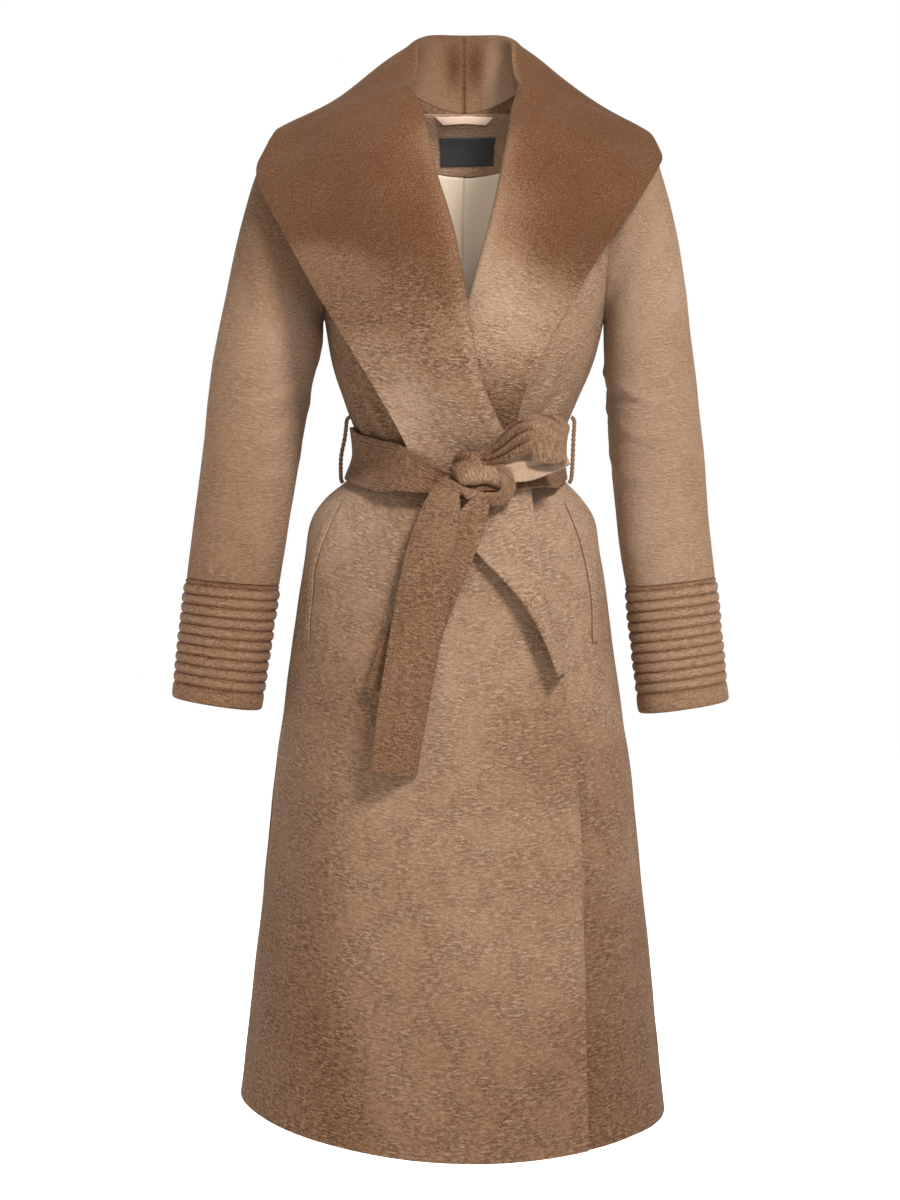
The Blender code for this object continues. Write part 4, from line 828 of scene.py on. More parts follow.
# --- Sleeves and cuffs ----------------------------------------------------------------------------
def sleeve_ring(row, around, grow=0.0):
    """A ring of a sleeve: an oval between its outer and its inner point."""
    out_x, out_z, in_x, in_z, half_y, mid_y = np.asarray(row) * MM
    turn = np.linspace(0, 2 * math.pi, around, endpoint=False) + math.pi
    centre = np.array([(out_x + in_x) / 2, mid_y, (out_z + in_z) / 2])
    long_way = np.array([(out_x - in_x) / 2, 0, (out_z - in_z) / 2])
    half_long = np.linalg.norm(long_way)
    long_way = long_way / half_long
    wide_way = np.array([0.0, 1.0, 0.0])
    full = 1 + SLEEVE_SQUARE * np.sin(2 * turn) ** 2
    return (
        centre
        + np.outer(np.cos(turn) * full * (half_long + grow), long_way)
        + np.outer(np.sin(turn) * full * (half_y + grow), wide_way)
    )


def sleeve_grid(table, last_row=10.0, count=SLEEVE_LONG):
    """Rings of a sleeve, from the armhole to last_row of its table: 10 is the cuff seam."""
    rows = through(table, np.linspace(0, last_row, count))
    return np.array([sleeve_ring(row, SLEEVE_AROUND) for row in rows])


def cuff_bm(table, bottom_row):
    """A ribbed cuff: ribs on its outer surface over a plain inside, from the sleeve's seam to its hem."""
    top, low = np.asarray(table[-1], float), np.asarray(bottom_row, float)
    length = np.linalg.norm((top[[0, 1]] + top[[2, 3]] - low[[0, 1]] - low[[2, 3]]) / 2) * MM
    start = (SEAM + CUFF_TOP) / length
    pitch = RIB_PITCH / length
    profile = [(SEAM / length, 0.0), (0.5 * (start + SEAM / length), 0.5)]
    parts = np.linspace(0, 1, 9)[:-1]
    for rib in range(RIB_COUNT):
        profile += [(start + (rib + part) * pitch, math.sin(math.pi * part) ** RIB_ROUND) for part in parts]
    low_start = start + RIB_COUNT * pitch
    profile += [(low_start + (1 - low_start) * part, rise) for part, rise in CUFF_BAND]

    def ring_of(at, grow):
        return sleeve_ring(top + (low - top) * at, CUFF_AROUND, grow)

    outer = [ring_of(at, CLOTH / 2 + rise * RIB_HEIGHT) for at, rise in profile]
    inner = [ring_of(at, -CLOTH / 2) for at in (1.0, 0.75, 0.5, 0.25, SEAM / length)]
    low_ring = sleeve_ring(low, CUFF_AROUND, CLOTH / 2)
    plain = len(inner) + 1  # rings under and inside the ribs
    rings = np.array(outer + [low_ring] + inner)
    centre = rings.mean(axis=1, keepdims=True)
    away = unit(rings - centre)
    uneven = swell(rings, 0.016, 0.9 * MM, 5.0) * np.array([1.0] * len(outer) + [0.0] * plain)[:, None]
    lie = nap_and_shade_lie(rings, NAP_AND_SHADE_CUFF, 0.6)
    # Painted highlight on each rib's crest and painted shade in the hollows between the ribs.
    crest = np.array([rise for _, rise in profile] + [0.6] * plain)
    lie[..., 0] += 0.42 * (crest - 0.62)[:, None]
    return cloth_grid(rings + away * uneven[..., None], closed=True, closed_along=True, lie=lie)


def closed_tube(rings, lie=None):
    """A closed body around rings of points."""
    bm = cloth_grid(np.array(rings), closed=True, lie=lie)
    bmesh.ops.holes_fill(bm, edges=[edge for edge in bm.edges if edge.is_boundary], sides=0)
    return bm


def armhole_cutter(name, table):
    """A closed tube, a seam's width larger than the sleeve, that opens the armhole in the body."""
    rings = sleeve_grid(table, ARMHOLE_ROW, 40)
    out = grid_normals(rings, closed=True)
    away = rings - rings.mean(axis=1, keepdims=True)
    out = np.where(np.sum(out * away, axis=-1, keepdims=True) < 0, -out, out)
    bm = closed_tube(rings + out * (CLOTH / 2 + SEAM))
    bmesh.ops.recalc_face_normals(bm, faces=bm.faces)
    mesh = bpy.data.meshes.new(name)
    bm.to_mesh(mesh)
    bm.free()
    cutter = bpy.data.objects.new(name, mesh)
    bpy.context.scene.collection.objects.link(cutter)
    return cutter


def settle(obj):
    """Turns the piece's modifiers into its mesh."""
    shaped = bpy.data.meshes.new_from_object(obj.evaluated_get(bpy.context.evaluated_depsgraph_get()))
    obj.modifiers.clear()
    obj.data = shaped


def open_armholes(obj, cutters):
    """Cuts a panel's armholes out of it."""
    for cutter in cutters:
        boolean = obj.modifiers.new("armhole", "BOOLEAN")
        boolean.operation = "DIFFERENCE"
        boolean.object = cutter
    settle(obj)
    obj.data.shade_smooth()


# --- Collar ---------------------------------------------------------------------------------------
def collar_frame(edge, neck, lapel, edge_lift, radius):
    """At each station: the collar's seam, its roll, its outer edge, and the directions there."""
    stations = edge.collar_stations
    first = edge.first
    angle, ring = edge.at(stations)
    lift = np.concatenate([np.zeros(len(edge.neck_stations) - 1), edge_lift[: len(edge.lapel_stations) + 1]])
    base = body_points(angle, ring, lift)
    along = unit(np.gradient(body_points(angle, ring), axis=0))
    normal = body_normal(angle, ring)
    in_surface = unit(np.cross(along, normal)) * edge.side
    radius = radius[:, None]
    rolled = base + in_surface * (EDGE_LAP + radius) + normal * radius
    neck_rows = np.array([row[1:4] for row in neck], float) * MM
    corner = rolled[np.argmin(np.abs(stations - first))]
    at_neck = through(np.concatenate([neck_rows, corner[None]]), np.minimum(stations, first))
    blend = np.clip(stations - first + 1.0, 0, 1)[:, None]
    blend = blend * blend * (3 - 2 * blend)
    roll = at_neck * (1 - blend) + rolled * blend
    centre = np.array([neck[0][1] * MM, 0, 0])
    radial = unit((roll - centre) * LEVEL)
    out = unit(radial * (1 - blend) + normal * blend)
    up = unit(unit(roll - base) * (1 - blend) + in_surface * blend)
    up = unit(up - out * np.sum(up * out, axis=1, keepdims=True))
    outer = through([row[4:8] for row in neck] + [row[2:6] for row in lapel], stations) * MM
    return base, in_surface, roll, up, out, outer[:, :3], outer[:, 3:]


def smooth_down(points, held, passes):
    """Softens a grid along its rows and columns, but for its first and last columns and rows."""
    for _ in range(passes):
        inner = points.copy()
        inner[:, 1:-1] = (points[:, :-2] + 2 * points[:, 1:-1] + points[:, 2:]) / 4
        inner[:, :held] = points[:, :held]
        points = inner
        inner = points.copy()
        inner[1:-1] = (points[:-2] + 2 * points[1:-1] + points[2:]) / 4
        inner[:, :held] = points[:, :held]
        points = inner
    return points


def collar_grid(edge, neck, lapel, edge_lift, radius, below):
    """The collar's middle surface: up from its seam, over the roll and down to its outer edge."""
    base, onward, roll, up, out, outer, puff = collar_frame(edge, neck, lapel, edge_lift, radius)
    radius = radius[:, None]
    centre = roll - up * radius
    turn_in = centre - out * radius
    gap = SEAM * (1 + 2 * np.exp(-(((edge.collar_stations - edge.first) / 0.6) ** 2)))
    start = base + onward * gap[:, None]
    down_front = np.clip(edge.collar_stations - edge.first + 1, 0, 1)[:, None]
    rise = (base + onward * EDGE_LAP * 0.7) * (1 - down_front) + (2 * start + turn_in) / 3 * down_front
    stand = np.array([start, rise, (rise + turn_in) / 2, turn_in])
    stand_rows = np.linspace(0, 3, 9)[:-1]
    columns = list(through(stand.reshape(4, -1), stand_rows).reshape(len(stand_rows), -1, 3))
    for turn in np.linspace(math.pi, 0, ROLL_POINTS):
        columns.append(centre + (out * math.cos(turn) + up * math.sin(turn)) * radius)
    turn_out = columns[-1]
    fall_start = len(columns)
    along = unit(np.gradient(roll, axis=0))
    chord = outer - turn_out
    side = unit(np.cross(chord, along))
    side = np.where(np.sum(side * (out + [0, 0, 0.5]), axis=1, keepdims=True) < 0, -side, side)
    for share in np.linspace(0, 1, FALL_POINTS + 1)[1:]:
        columns.append(turn_out + chord * share + side * PUFF_PEAK * share * (1 - share) ** 2 * puff)
    points = np.stack(columns, axis=1)
    points[0, :, 0] = neck[0][1] * MM + edge.side * SEAM / 6
    normals = grid_normals(points)[:, fall_start:]
    facing = np.sum(normals * (out + [0, 0, 0.5])[:, None], axis=-1, keepdims=True)
    normals = np.where(facing < 0, -normals, normals)
    normals[0, :, 0] = 0
    lift = spread_out(lift_over(points[:, fall_start:], normals, below, DOUBLE / 2), 260)
    points[:, fall_start:] += normals * lift[..., None]
    points = smooth_down(points, len(stand_rows), 6)
    points[0, :, 0] = neck[0][1] * MM + edge.side * SEAM / 6
    return points


def collar_lie(points, places):
    """The nap of a collar half, with painted light and shade: painted light on the stand inside the neck, a
    painted highlight along the roll, smooth above and crinkled below.
    """
    low = np.clip((-points[..., 2] - 0.12) / 0.16, 0.22, 1.0)
    lie = nap_and_shade_lie(points, places, low, COLLAR_SPREAD)
    columns = np.arange(points.shape[1])
    near_seam = np.clip(1.2 - columns / 12, 0, 1)[None, :]
    inside = near_seam * np.clip((points[..., 2] + 0.05) / 0.04, 0, 1)
    off_centre = np.abs(points[..., 0] - NECK_RIGHT[0][1] * MM) / MM
    lobes = np.exp(-(((off_centre - 12) / 9) ** 2) - ((points[..., 2] / MM - 42) / 24) ** 2)
    # Painted light on the stand inside the neck, more towards the wearer's left; darker in two lobes beside
    # the centre back and along its seam.
    lit = np.clip((points[..., 0] - 24 * MM) / (14 * MM), 0, 1)
    lie[..., 0] += (STAND_LIGHT + 0.5 * lit - 0.5 * lobes - lie[..., 0]) * inside
    lie[..., 0] -= 0.5 * np.exp(-((off_centre / 1.8) ** 2)) * inside
    # A painted highlight along the roll.
    rolled = np.exp(-(((columns - ROLL_COLUMN) / 3.0) ** 2))[None, :]
    lie[..., 0] += 0.16 * rolled * np.clip((-points[..., 2] - 0.02) / 0.05, 0, 1)
    return lie


# --- Belt -----------------------------------------------------------------------------------------
def belt_height(angle):
    """The height of the belt's middle at each angle."""
    turn = np.radians(angle)
    facing = np.abs(np.cos(turn)) ** 1.6
    middle = np.where(np.cos(turn) > 0, BELT_FRONT_Z, BELT_BACK_Z)
    return BELT_SIDE_Z + (middle - BELT_SIDE_Z) * facing


def ring_at(angle, z):
    """The ring of the body that is at height z at each angle."""
    rings = np.linspace(0, len(BODY) - 1, 900)
    heights = body_place(np.asarray(angle)[:, None], rings[None, :])[..., 2]
    return np.array([np.interp(-height, -row, rings) for height, row in zip(z, heights)])


def round_curve(values, count):
    """A closed row of points, drawn smoothly through count points."""
    size = values.shape[1]
    at = np.linspace(0, size, count, endpoint=False)
    low = at.astype(int)
    share = (at - low)[None, :, None]
    before, here, after, beyond = (values[:, (low + step) % size] for step in (-1, 0, 1, 2))
    return 0.5 * (
        2 * here
        + (after - before) * share
        + (2 * before - 5 * here + 4 * after - beyond) * share**2
        + (3 * here - before - 3 * after + beyond) * share**3
    )


def belt_band_grid(below):
    angle = np.linspace(-180, 180, BELT_ROUND, endpoint=False)
    rows = []
    for across in (-0.5, 0.0, 0.5):
        rows.append(ring_at(angle, belt_height(angle) + across * BELT_WIDTH))
    ring = np.array(rows)
    angle = np.broadcast_to(angle, ring.shape)
    points, out = body_points(angle, ring), body_normal(angle, ring)
    flat = out * np.array([1, 1, 0.35])
    need = lift_over(points, unit(flat), below, DOUBLE / 2)
    need[:, 0] = need[:, [0, 1, -1]].max(axis=1)
    points = points + unit(flat) * need.max(axis=0)[None, :, None]
    tight = round_curve(pulled_tight(points), 6 * BELT_ROUND)
    for _ in range(16):
        tight[:, :, :2] = (np.roll(tight, 1, axis=1) + 2 * tight + np.roll(tight, -1, axis=1))[:, :, :2] / 4
    share = np.linspace(0, 2, 21)
    band = through(tight.reshape(3, -1), share).reshape(len(share), -1, 3)
    return gathered(band, (share - 1)[:, None])


def gathered(band, share):
    """The band drawn together where it goes under the knot, with small folds that run into it."""
    x = band[..., 0]
    left = np.clip((x - KNOT_LEFT + 62 * MM) / (62 * MM), 0, 1)
    right = np.clip((KNOT_RIGHT + 50 * MM - x) / (50 * MM), 0, 1)
    near = np.where(x < KNOT_LEFT, left, np.where(x > KNOT_RIGHT, right, 1.0)) * (band[..., 1] < 0)
    near = near * near * (3 - 2 * near)
    band = band.copy()
    band[..., 2] += near * (-25 * MM * (0.5 + 0.5 * share) ** 1.4 + 2 * MM * (0.5 - 0.5 * share))
    folds = 1.3 * np.sin(7.5 * share + 0.8) + 0.7 * np.sin(13 * share + 2.0 + 20 * x)
    band[..., 1] -= near * folds * 0.9 * MM
    return band


def pulled_tight(rows):
    """The same closed rows, drawn straight across every hollow as a tight belt is."""
    middle = rows[1].mean(axis=0)
    reach = np.hypot(rows[1, :, 0] - middle[0], rows[1, :, 1] - middle[1])
    turn = np.arctan2(rows[1, :, 1] - middle[1], rows[1, :, 0] - middle[0])
    tight = reach.copy()
    for _ in range(200):
        before, after = np.roll(tight, 1), np.roll(tight, -1)
        to_before = turn - np.roll(turn, 1)
        to_after = np.roll(turn, -1) - turn
        straight = before * after * np.sin(to_before + to_after)
        straight = straight / (before * np.sin(to_before) + after * np.sin(to_after))
        tight = np.maximum(tight, straight)
    away = rows - middle
    away[..., :2] *= (tight / reach)[None, :, None]
    return middle + away


def ribbon_frame(table, steps):
    """Centre, direction across, half width and crown of a ribbon at even steps."""
    rows = through(table, np.linspace(0, len(table) - 1, steps))
    centre = rows[:, :3] * MM
    along = unit(np.gradient(centre, axis=0))
    side = rows[:, 3:6]
    side = unit(side - along * np.sum(side * along, axis=1, keepdims=True))
    return centre, along, side, rows[:, 6][:, None, None] * MM / 2, rows[:, 7][:, None, None] * MM


def tail_grid(table, steps, below):
    """A hanging end of the belt, laid over what is below it."""
    centre, along, side, half, bow = ribbon_frame(table, steps)
    forward = unit(np.cross(along, side))
    forward = np.where(forward[:, 1:2] > 0, -forward, forward)
    share = np.linspace(-1, 1, TAIL_ACROSS)[None, :, None]
    points = centre[:, None] + side[:, None] * share * half + forward[:, None] * bow * (1 - share**2)
    ahead = np.broadcast_to(FORWARD, points.shape)
    lift = spread_out(lift_over(points, ahead, below, DOUBLE / 2, LAID), 160)
    return points + ahead * lift[..., None]


def bow_grid(table, steps):
    """The bow's loop: the ribbon turns back on itself, and its crown stands forward all the way."""
    centre, _, side, half, bow = ribbon_frame(table, steps)
    share = np.linspace(-1, 1, BOW_ACROSS)[None, :, None]
    points = centre[:, None] + side[:, None] * share * half + FORWARD * bow * (1 - share**2)
    run = run_lengths(centre[:, None], 0)
    near = np.exp(-run / 0.045)[:, :, None] + 0.7 * np.exp(-(run[-1] - run) / 0.04)[:, :, None]
    folds = 1.5 * np.sin(6.0 * share + 0.6) + 0.8 * np.sin(11.0 * share + 2.2)
    points = points + FORWARD * near * folds * MM
    return points + np.array([0, BOW_SEAT, 0])


def pleated(points, folds):
    """The bow with pleats that run out of the knot."""
    lengthwise, crosswise = np.linspace(0, 1, points.shape[0]), np.linspace(-1, 1, points.shape[1])
    down, across = np.meshgrid(lengthwise, crosswise, indexing="ij")
    lift = np.zeros(down.shape)
    for place, slant, start, end, width, height in folds:
        spread = (across - place - slant * (down - start)) / width
        share = np.clip((down - start) / (end - start), 0, 1)
        shape = np.exp(-(spread**2)) - 0.7 * np.exp(-((spread - 1.6) ** 2))
        lift += height * MM * np.sin(np.pi * share) ** 0.6 * shape
    return points + FORWARD * lift[..., None]


def bow_lie(points):
    """The nap of the bow's loop, with painted light on its inside."""
    lie = nap_and_shade_lie(points, NAP_AND_SHADE_BOW, 0.7, 11 * MM)
    # Painted light on the inside of the loop, behind its front sheet.
    inside = np.clip((np.linspace(0, 1, len(points)) - BOW_TURN) / 0.04, 0, 1)[:, None]
    lie[..., 0] += (1.15 - lie[..., 0]) * inside
    return lie


def cord_rings(line, along, half_across, half_deep, sides):
    """Rings round a line in a plane that faces the front; along is the line's direction."""
    turn = np.linspace(0, 2 * math.pi, sides, endpoint=False)[None, :, None]
    across = np.stack([along[:, 2], np.zeros(len(along)), -along[:, 0]], axis=-1)
    across = unit(across)[:, None] * np.reshape(half_across, (-1, 1, 1))
    deep = np.array([0.0, 1.0, 0.0]) * np.reshape(half_deep, (-1, 1, 1))
    return line[:, None] + np.cos(turn) * across + np.sin(turn) * deep


def front_of(layers, x, z):
    """The y of the foremost layer at x, z seen from the front."""
    hits = [surface.ray_cast(Vector((x, -0.4, z)), Vector((0, 1, 0)), 0.5) for surface, _ in layers]
    return min([hit[0].y for hit in hits if hit[0] is not None] + [KNOT_SEAT]) - DOUBLE / 2


def evened(values, reach):
    """The same values with each one the mean of its neighbours."""
    shares = np.full(2 * reach + 1, 1 / (2 * reach + 1))
    return np.convolve(np.pad(values, reach, mode="edge"), shares, mode="valid")


def knot_pass_rings(layers):
    """The cloth passed over the knot: a darker upper band above a thick roll, dimpled at its left end."""
    rows = through(KNOT_PASS, np.linspace(0, len(KNOT_PASS) - 1, 110)) * MM
    rings = []
    bases = []
    for row in rows:
        heights = [row[4] + part * (row[1] - row[4]) for part in (0.2, 0.4)]
        bases.append(min(front_of(layers, row[0], height) for height in heights))
    for (x, top, valley, crest, low, out_top, out_valley, out_crest), base in zip(rows, evened(bases, 12)):
        front = np.array(
            [
                (top, 0),
                (top - 1.0 * MM, 0.75 * out_top),
                (top - 3.0 * MM, out_top),
                (valley, out_valley),
                ((valley + crest) / 2, (out_valley + 1.1 * out_crest) / 2),
                (crest, out_crest),
                (low + 4.5 * MM, 0.86 * out_crest),
                (low + 1.4 * MM, 0.5 * out_crest),
                (low, 0),
            ]
        )
        curve = through(front, np.linspace(0, 8, 41))
        back = np.linspace(curve[-1], curve[0], 12)[1:-1]
        profile = np.concatenate([curve, back])
        rings.append([(x, base - out, z) for z, out in profile])
    return np.array(rings)


def roll_rings(table, layers):
    """A roll of folded cloth beside the knot."""
    rows = through(table, np.linspace(0, len(table) - 1, 90)) * MM
    base = evened([front_of(layers, x, max(z, KNOT_LOW_Z)) for x, z in rows[:, :2]], 20)
    line = np.stack([rows[:, 0], base - rows[:, 4], rows[:, 1]], axis=-1)
    return cord_rings(line, unit(np.gradient(line, axis=0)), rows[:, 2], rows[:, 3], 32)


def knot_bm(layers):
    """The knot: the pass over it, the turn at its right end and the fold under it, as soft rolls."""
    whole = bmesh.new()
    for rings in (knot_pass_rings(layers), roll_rings(KNOT_TURN, layers), roll_rings(KNOT_FOLD, layers)):
        centre = rings.mean(axis=1, keepdims=True)
        uneven = swell(rings, 0.012, 0.9 * MM, 14.0) + swell(rings, 0.005, 0.35 * MM, 21.0)
        rings = rings + unit(rings - centre) * uneven[..., None]
        part = closed_tube(rings, nap_and_shade_lie(rings, NAP_AND_SHADE_KNOT, 0.8, 9 * MM))
        bmesh.ops.recalc_face_normals(part, faces=part.faces)
        scrap = bpy.data.meshes.new("scrap")
        part.to_mesh(scrap)
        part.free()
        whole.from_mesh(scrap)
        bpy.data.meshes.remove(scrap)
    return whole


def thread_loop_bm(side, back, belt):
    """A thread loop at the side seam that carries the belt."""
    angles = np.linspace(-180, 180, belt.shape[1], endpoint=False)
    column = np.argmin(np.abs(angles - side * 90))
    belt_x = abs(belt[7, column, 0])
    half = LOOP_CORD / 2

    def off_wall(z, stand):
        place, normal, _, _ = back.ray_cast(Vector((side * 0.5, LOOP_Y, z)), Vector((-side, 0, 0)))
        if normal.x * side < 0:
            normal = -normal
        off = CLOTH / 2 + stand
        return side * place.x + side * normal.x * off, place.z + normal.z * off

    near, far = 0.9 * MM, 6.0 * MM
    top, low = LOOP_TOP_Z, LOOP_LOW_Z
    least = DOUBLE / 2 + half + AIR
    stand = belt_x + LOOP_STAND
    rows = np.array(
        [
            off_wall(top, near),
            off_wall(top, far),
            (max(abs(belt[-1, column, 0]) + least, stand - 5 * MM), top - 13 * MM),
            (stand + 2 * MM, top - 31 * MM),
            (stand + 2 * MM + LOOP_LEAN[side], low + 28 * MM),
            (max(abs(belt[0, column, 0]) + least, stand + LOOP_LEAN[side] - 4 * MM), low + 12 * MM),
            off_wall(low, far),
            off_wall(low, near),
        ]
    )
    flat = through(rows, np.linspace(0, len(rows) - 1, LOOP_STEPS))
    for _ in range(140):
        flat[1:-1] = (flat[:-2] + 2 * flat[1:-1] + flat[2:]) / 4
    line = np.stack([flat[:, 0] * side, np.full(len(flat), LOOP_Y), flat[:, 1]], axis=-1)
    along = unit(np.gradient(line, axis=0))
    twist = 1 + 0.16 * np.sin(np.arange(LOOP_STEPS) * 1.5)
    return closed_tube(cord_rings(line, along, half * twist, half * twist, 14))


# --- Pockets and the inside of the back neck ------------------------------------------------------
def welt_grid(rows, below):
    """A pocket's welt, laid on the front along its slanting mouth."""
    x, z = through(rows, np.linspace(0, len(rows) - 1, 60)).T * MM
    places = np.stack(locate(x, z), axis=-1)
    line = body_points(places[:, 0], places[:, 1])
    normal = body_normal(places[:, 0], places[:, 1])
    along = unit(np.gradient(line, axis=0))
    across = unit(np.cross(normal, along))
    share = np.linspace(-0.5, 0.5, 9)[None, :, None]
    points = line[:, None] + across[:, None] * share * WELT_WIDTH
    out = np.broadcast_to(normal[:, None], points.shape)
    need = softened(highest_near(lift_over(points, out, below, WELT / 2, LAID), 2), 2)
    return points + out * need[..., None]


def lining_grid(depth):
    """The back lining, with a pleat down its centre."""
    rings = even_rings(FACING_LOW_RING + 0.02, LINING_LOW_RING, 70)
    angles = np.linspace(*INSIDE_ANGLES, 281)
    away = angles - 180
    pleat = np.exp(-((away / np.where(away > 0, PLEAT_STEEP, PLEAT_SOFT)) ** 2))[None, :]
    angle, ring = np.broadcast_arrays(angles[None, :], rings[:, None])
    return body_points(angle, ring, -depth - PLEAT_HEIGHT * pleat)


def level_rings(angles, drop):
    """The ring at each angle of the back that lies drop below the middle of the back neck seam."""
    height = body_place(180.0, SEAM_RING)[..., 2]
    return ring_at(np.asarray(angles), height - np.broadcast_to(drop, np.shape(angles)))


def facing_grid(angles, depth):
    """The neck facing, cut straight along its top."""
    top = level_rings(angles, 0.0)
    share = np.linspace(0, 1, 24)[:, None]
    ring = top[None, :] * (1 - share) + FACING_LOW_RING * share
    return body_points(np.broadcast_to(angles, ring.shape), ring, -depth)


def hanger_grid(depth):
    """The hanger: a flat satin strip under the neck seam, its ends turned up into the seam."""
    share = np.linspace(-1, 1, 61)
    angle = 180 + share * HANGER_HALF_ANGLE
    hung = np.clip((1 - np.abs(share)) / 0.28, 0, 1)
    stand = depth + HANGER_STAND * np.clip((1 - np.abs(share)) / 0.3, 0, 1)
    rows = []
    for part in np.linspace(0, 1, 7):
        ring = level_rings(angle, HANGER_DROP + part * (HANGER_END + HANGER_MORE * hung))
        rows.append(body_points(angle, ring, -stand))
    return np.array(rows)


def label_grid(depth):
    """The label on the facing: a small upright patch, as wide above as below."""
    rows = []
    for drop in np.linspace(*LABEL_DROPS, 15):
        half_x = through(BODY, level_rings(np.array([180.0]), drop))[0, 0] * MM
        across = np.linspace(-1, 1, 33) * LABEL_HALF_WIDTH + LABEL_SHIFT
        angle = 180 - np.degrees(np.arcsin(across / half_x))
        rows.append(body_points(angle, level_rings(angle, drop), -depth))
    return np.array(rows)


# --- Finishes -------------------------------------------------------------------------------------
NAP_DEEP = (0.096, 0.036, 0.013, 1.0)  # between the ripples of the nap, and where shade is painted deepest
NAP_MIDDLE = (0.258, 0.148, 0.084, 1.0)
NAP_LIGHT = (0.43, 0.288, 0.194, 1.0)  # on their tips, and where light is painted brightest
EDGES = (5.5 * MM, 9.5 * MM)  # how far in the two rows of topstitching lie
GROOVE = 1.3 * MM  # half the width of the groove that a row pulls
THREAD = 0.45 * MM  # half the width of its thread
STITCH = 3.4 * MM  # from one stitch to the next


def math_node(tree_, operation, first, second=None, third=None):
    """The result of a sum of numbers or of sockets."""
    made = tree_.nodes.new("ShaderNodeMath")
    made.operation = operation
    for socket, value in zip(made.inputs, (first, second, third)):
        if value is None:
            continue
        if isinstance(value, (int, float)):
            socket.default_value = value
        else:
            tree_.links.new(value, socket)
    return made.outputs[0]


def nap_group():
    """The nap of brushed wool: crinkled ripples of long hair, fine fibres and broad clouds."""
    group = bpy.data.node_groups.new("brushed nap", "ShaderNodeTree")
    side = group.interface
    side.new_socket("Place", in_out="INPUT", socket_type="NodeSocketVector")
    side.new_socket("Across", in_out="INPUT", socket_type="NodeSocketFloat")
    side.new_socket("Along", in_out="INPUT", socket_type="NodeSocketFloat")
    side.new_socket("Crinkle", in_out="INPUT", socket_type="NodeSocketFloat")
    for name in ("Tips", "Cloud", "Height"):
        side.new_socket(name, in_out="OUTPUT", socket_type="NodeSocketFloat")
    start, end = group.nodes.new("NodeGroupInput"), group.nodes.new("NodeGroupOutput")
    link = group.links.new

    def scaled(across, along):
        parts = group.nodes.new("ShaderNodeSeparateXYZ")
        link(start.outputs["Place"], parts.inputs[0])
        whole = group.nodes.new("ShaderNodeCombineXYZ")
        link(math_node(group, "MULTIPLY", parts.outputs[0], across), whole.inputs[0])
        link(math_node(group, "MULTIPLY", parts.outputs[1], along), whole.inputs[1])
        link(parts.outputs[2], whole.inputs[2])
        return whole.outputs[0]

    def layer(place, detail, rough, distortion, scale=1.0):
        made = group.nodes.new("ShaderNodeTexNoise")
        made.inputs["Scale"].default_value = scale
        made.inputs["Detail"].default_value = detail
        made.inputs["Roughness"].default_value = rough
        made.inputs["Distortion"].default_value = distortion
        link(place, made.inputs["Vector"])
        return made.outputs["Fac"]

    def spread(value, low, high):
        made = group.nodes.new("ShaderNodeMapRange")
        made.interpolation_type = "SMOOTHSTEP"
        made.inputs["From Min"].default_value = low
        made.inputs["From Max"].default_value = high
        link(value, made.inputs["Value"])
        return made.outputs["Result"]

    place = scaled(start.outputs["Across"], start.outputs["Along"])
    crinkled = start.outputs["Crinkle"]
    ripples = spread(layer(place, 2.5, 0.55, 0.7), 0.33, 0.70)
    fibres = spread(layer(place, 2.0, 0.6, 0.3, 3.1), 0.30, 0.70)
    fuzz = spread(layer(start.outputs["Place"], 3.0, 0.65, 0.0, 620.0), 0.25, 0.75)
    cloud = spread(layer(start.outputs["Place"], 3.0, 0.5, 0.3, 13.0), 0.3, 0.7)
    patches = spread(layer(start.outputs["Place"], 1.0, 0.5, 0.2, 34.0), 0.36, 0.62)
    strength = math_node(group, "MULTIPLY", crinkled, math_node(group, "MULTIPLY_ADD", patches, 0.5, 0.55))
    wave = math_node(group, "SUBTRACT", ripples, 0.5)
    wave = math_node(group, "MULTIPLY", wave, strength)
    fine = math_node(group, "MULTIPLY", math_node(group, "SUBTRACT", fuzz, 0.5), 0.40)
    fine = math_node(group, "MULTIPLY_ADD", math_node(group, "SUBTRACT", fibres, 0.5), 0.34, fine)
    tips = math_node(group, "ADD", math_node(group, "MULTIPLY_ADD", wave, 0.62, 0.5), fine)
    height = math_node(group, "MULTIPLY_ADD", wave, 1.0, math_node(group, "MULTIPLY", fine, 0.55))
    link(tips, end.inputs["Tips"])
    link(cloud, end.inputs["Cloud"])
    link(height, end.inputs["Height"])
    return group


NAP = nap_group()


def mixed(tree_, share, first, second):
    """A mix of two colours, or of a colour and a colour socket."""
    made = tree_.nodes.new("ShaderNodeMix")
    made.data_type = "RGBA"
    for socket, value in ((made.inputs[0], share), (made.inputs[6], first), (made.inputs[7], second)):
        if isinstance(value, (int, float, tuple)):
            socket.default_value = value
        else:
            tree_.links.new(value, socket)
    return made.outputs[2]


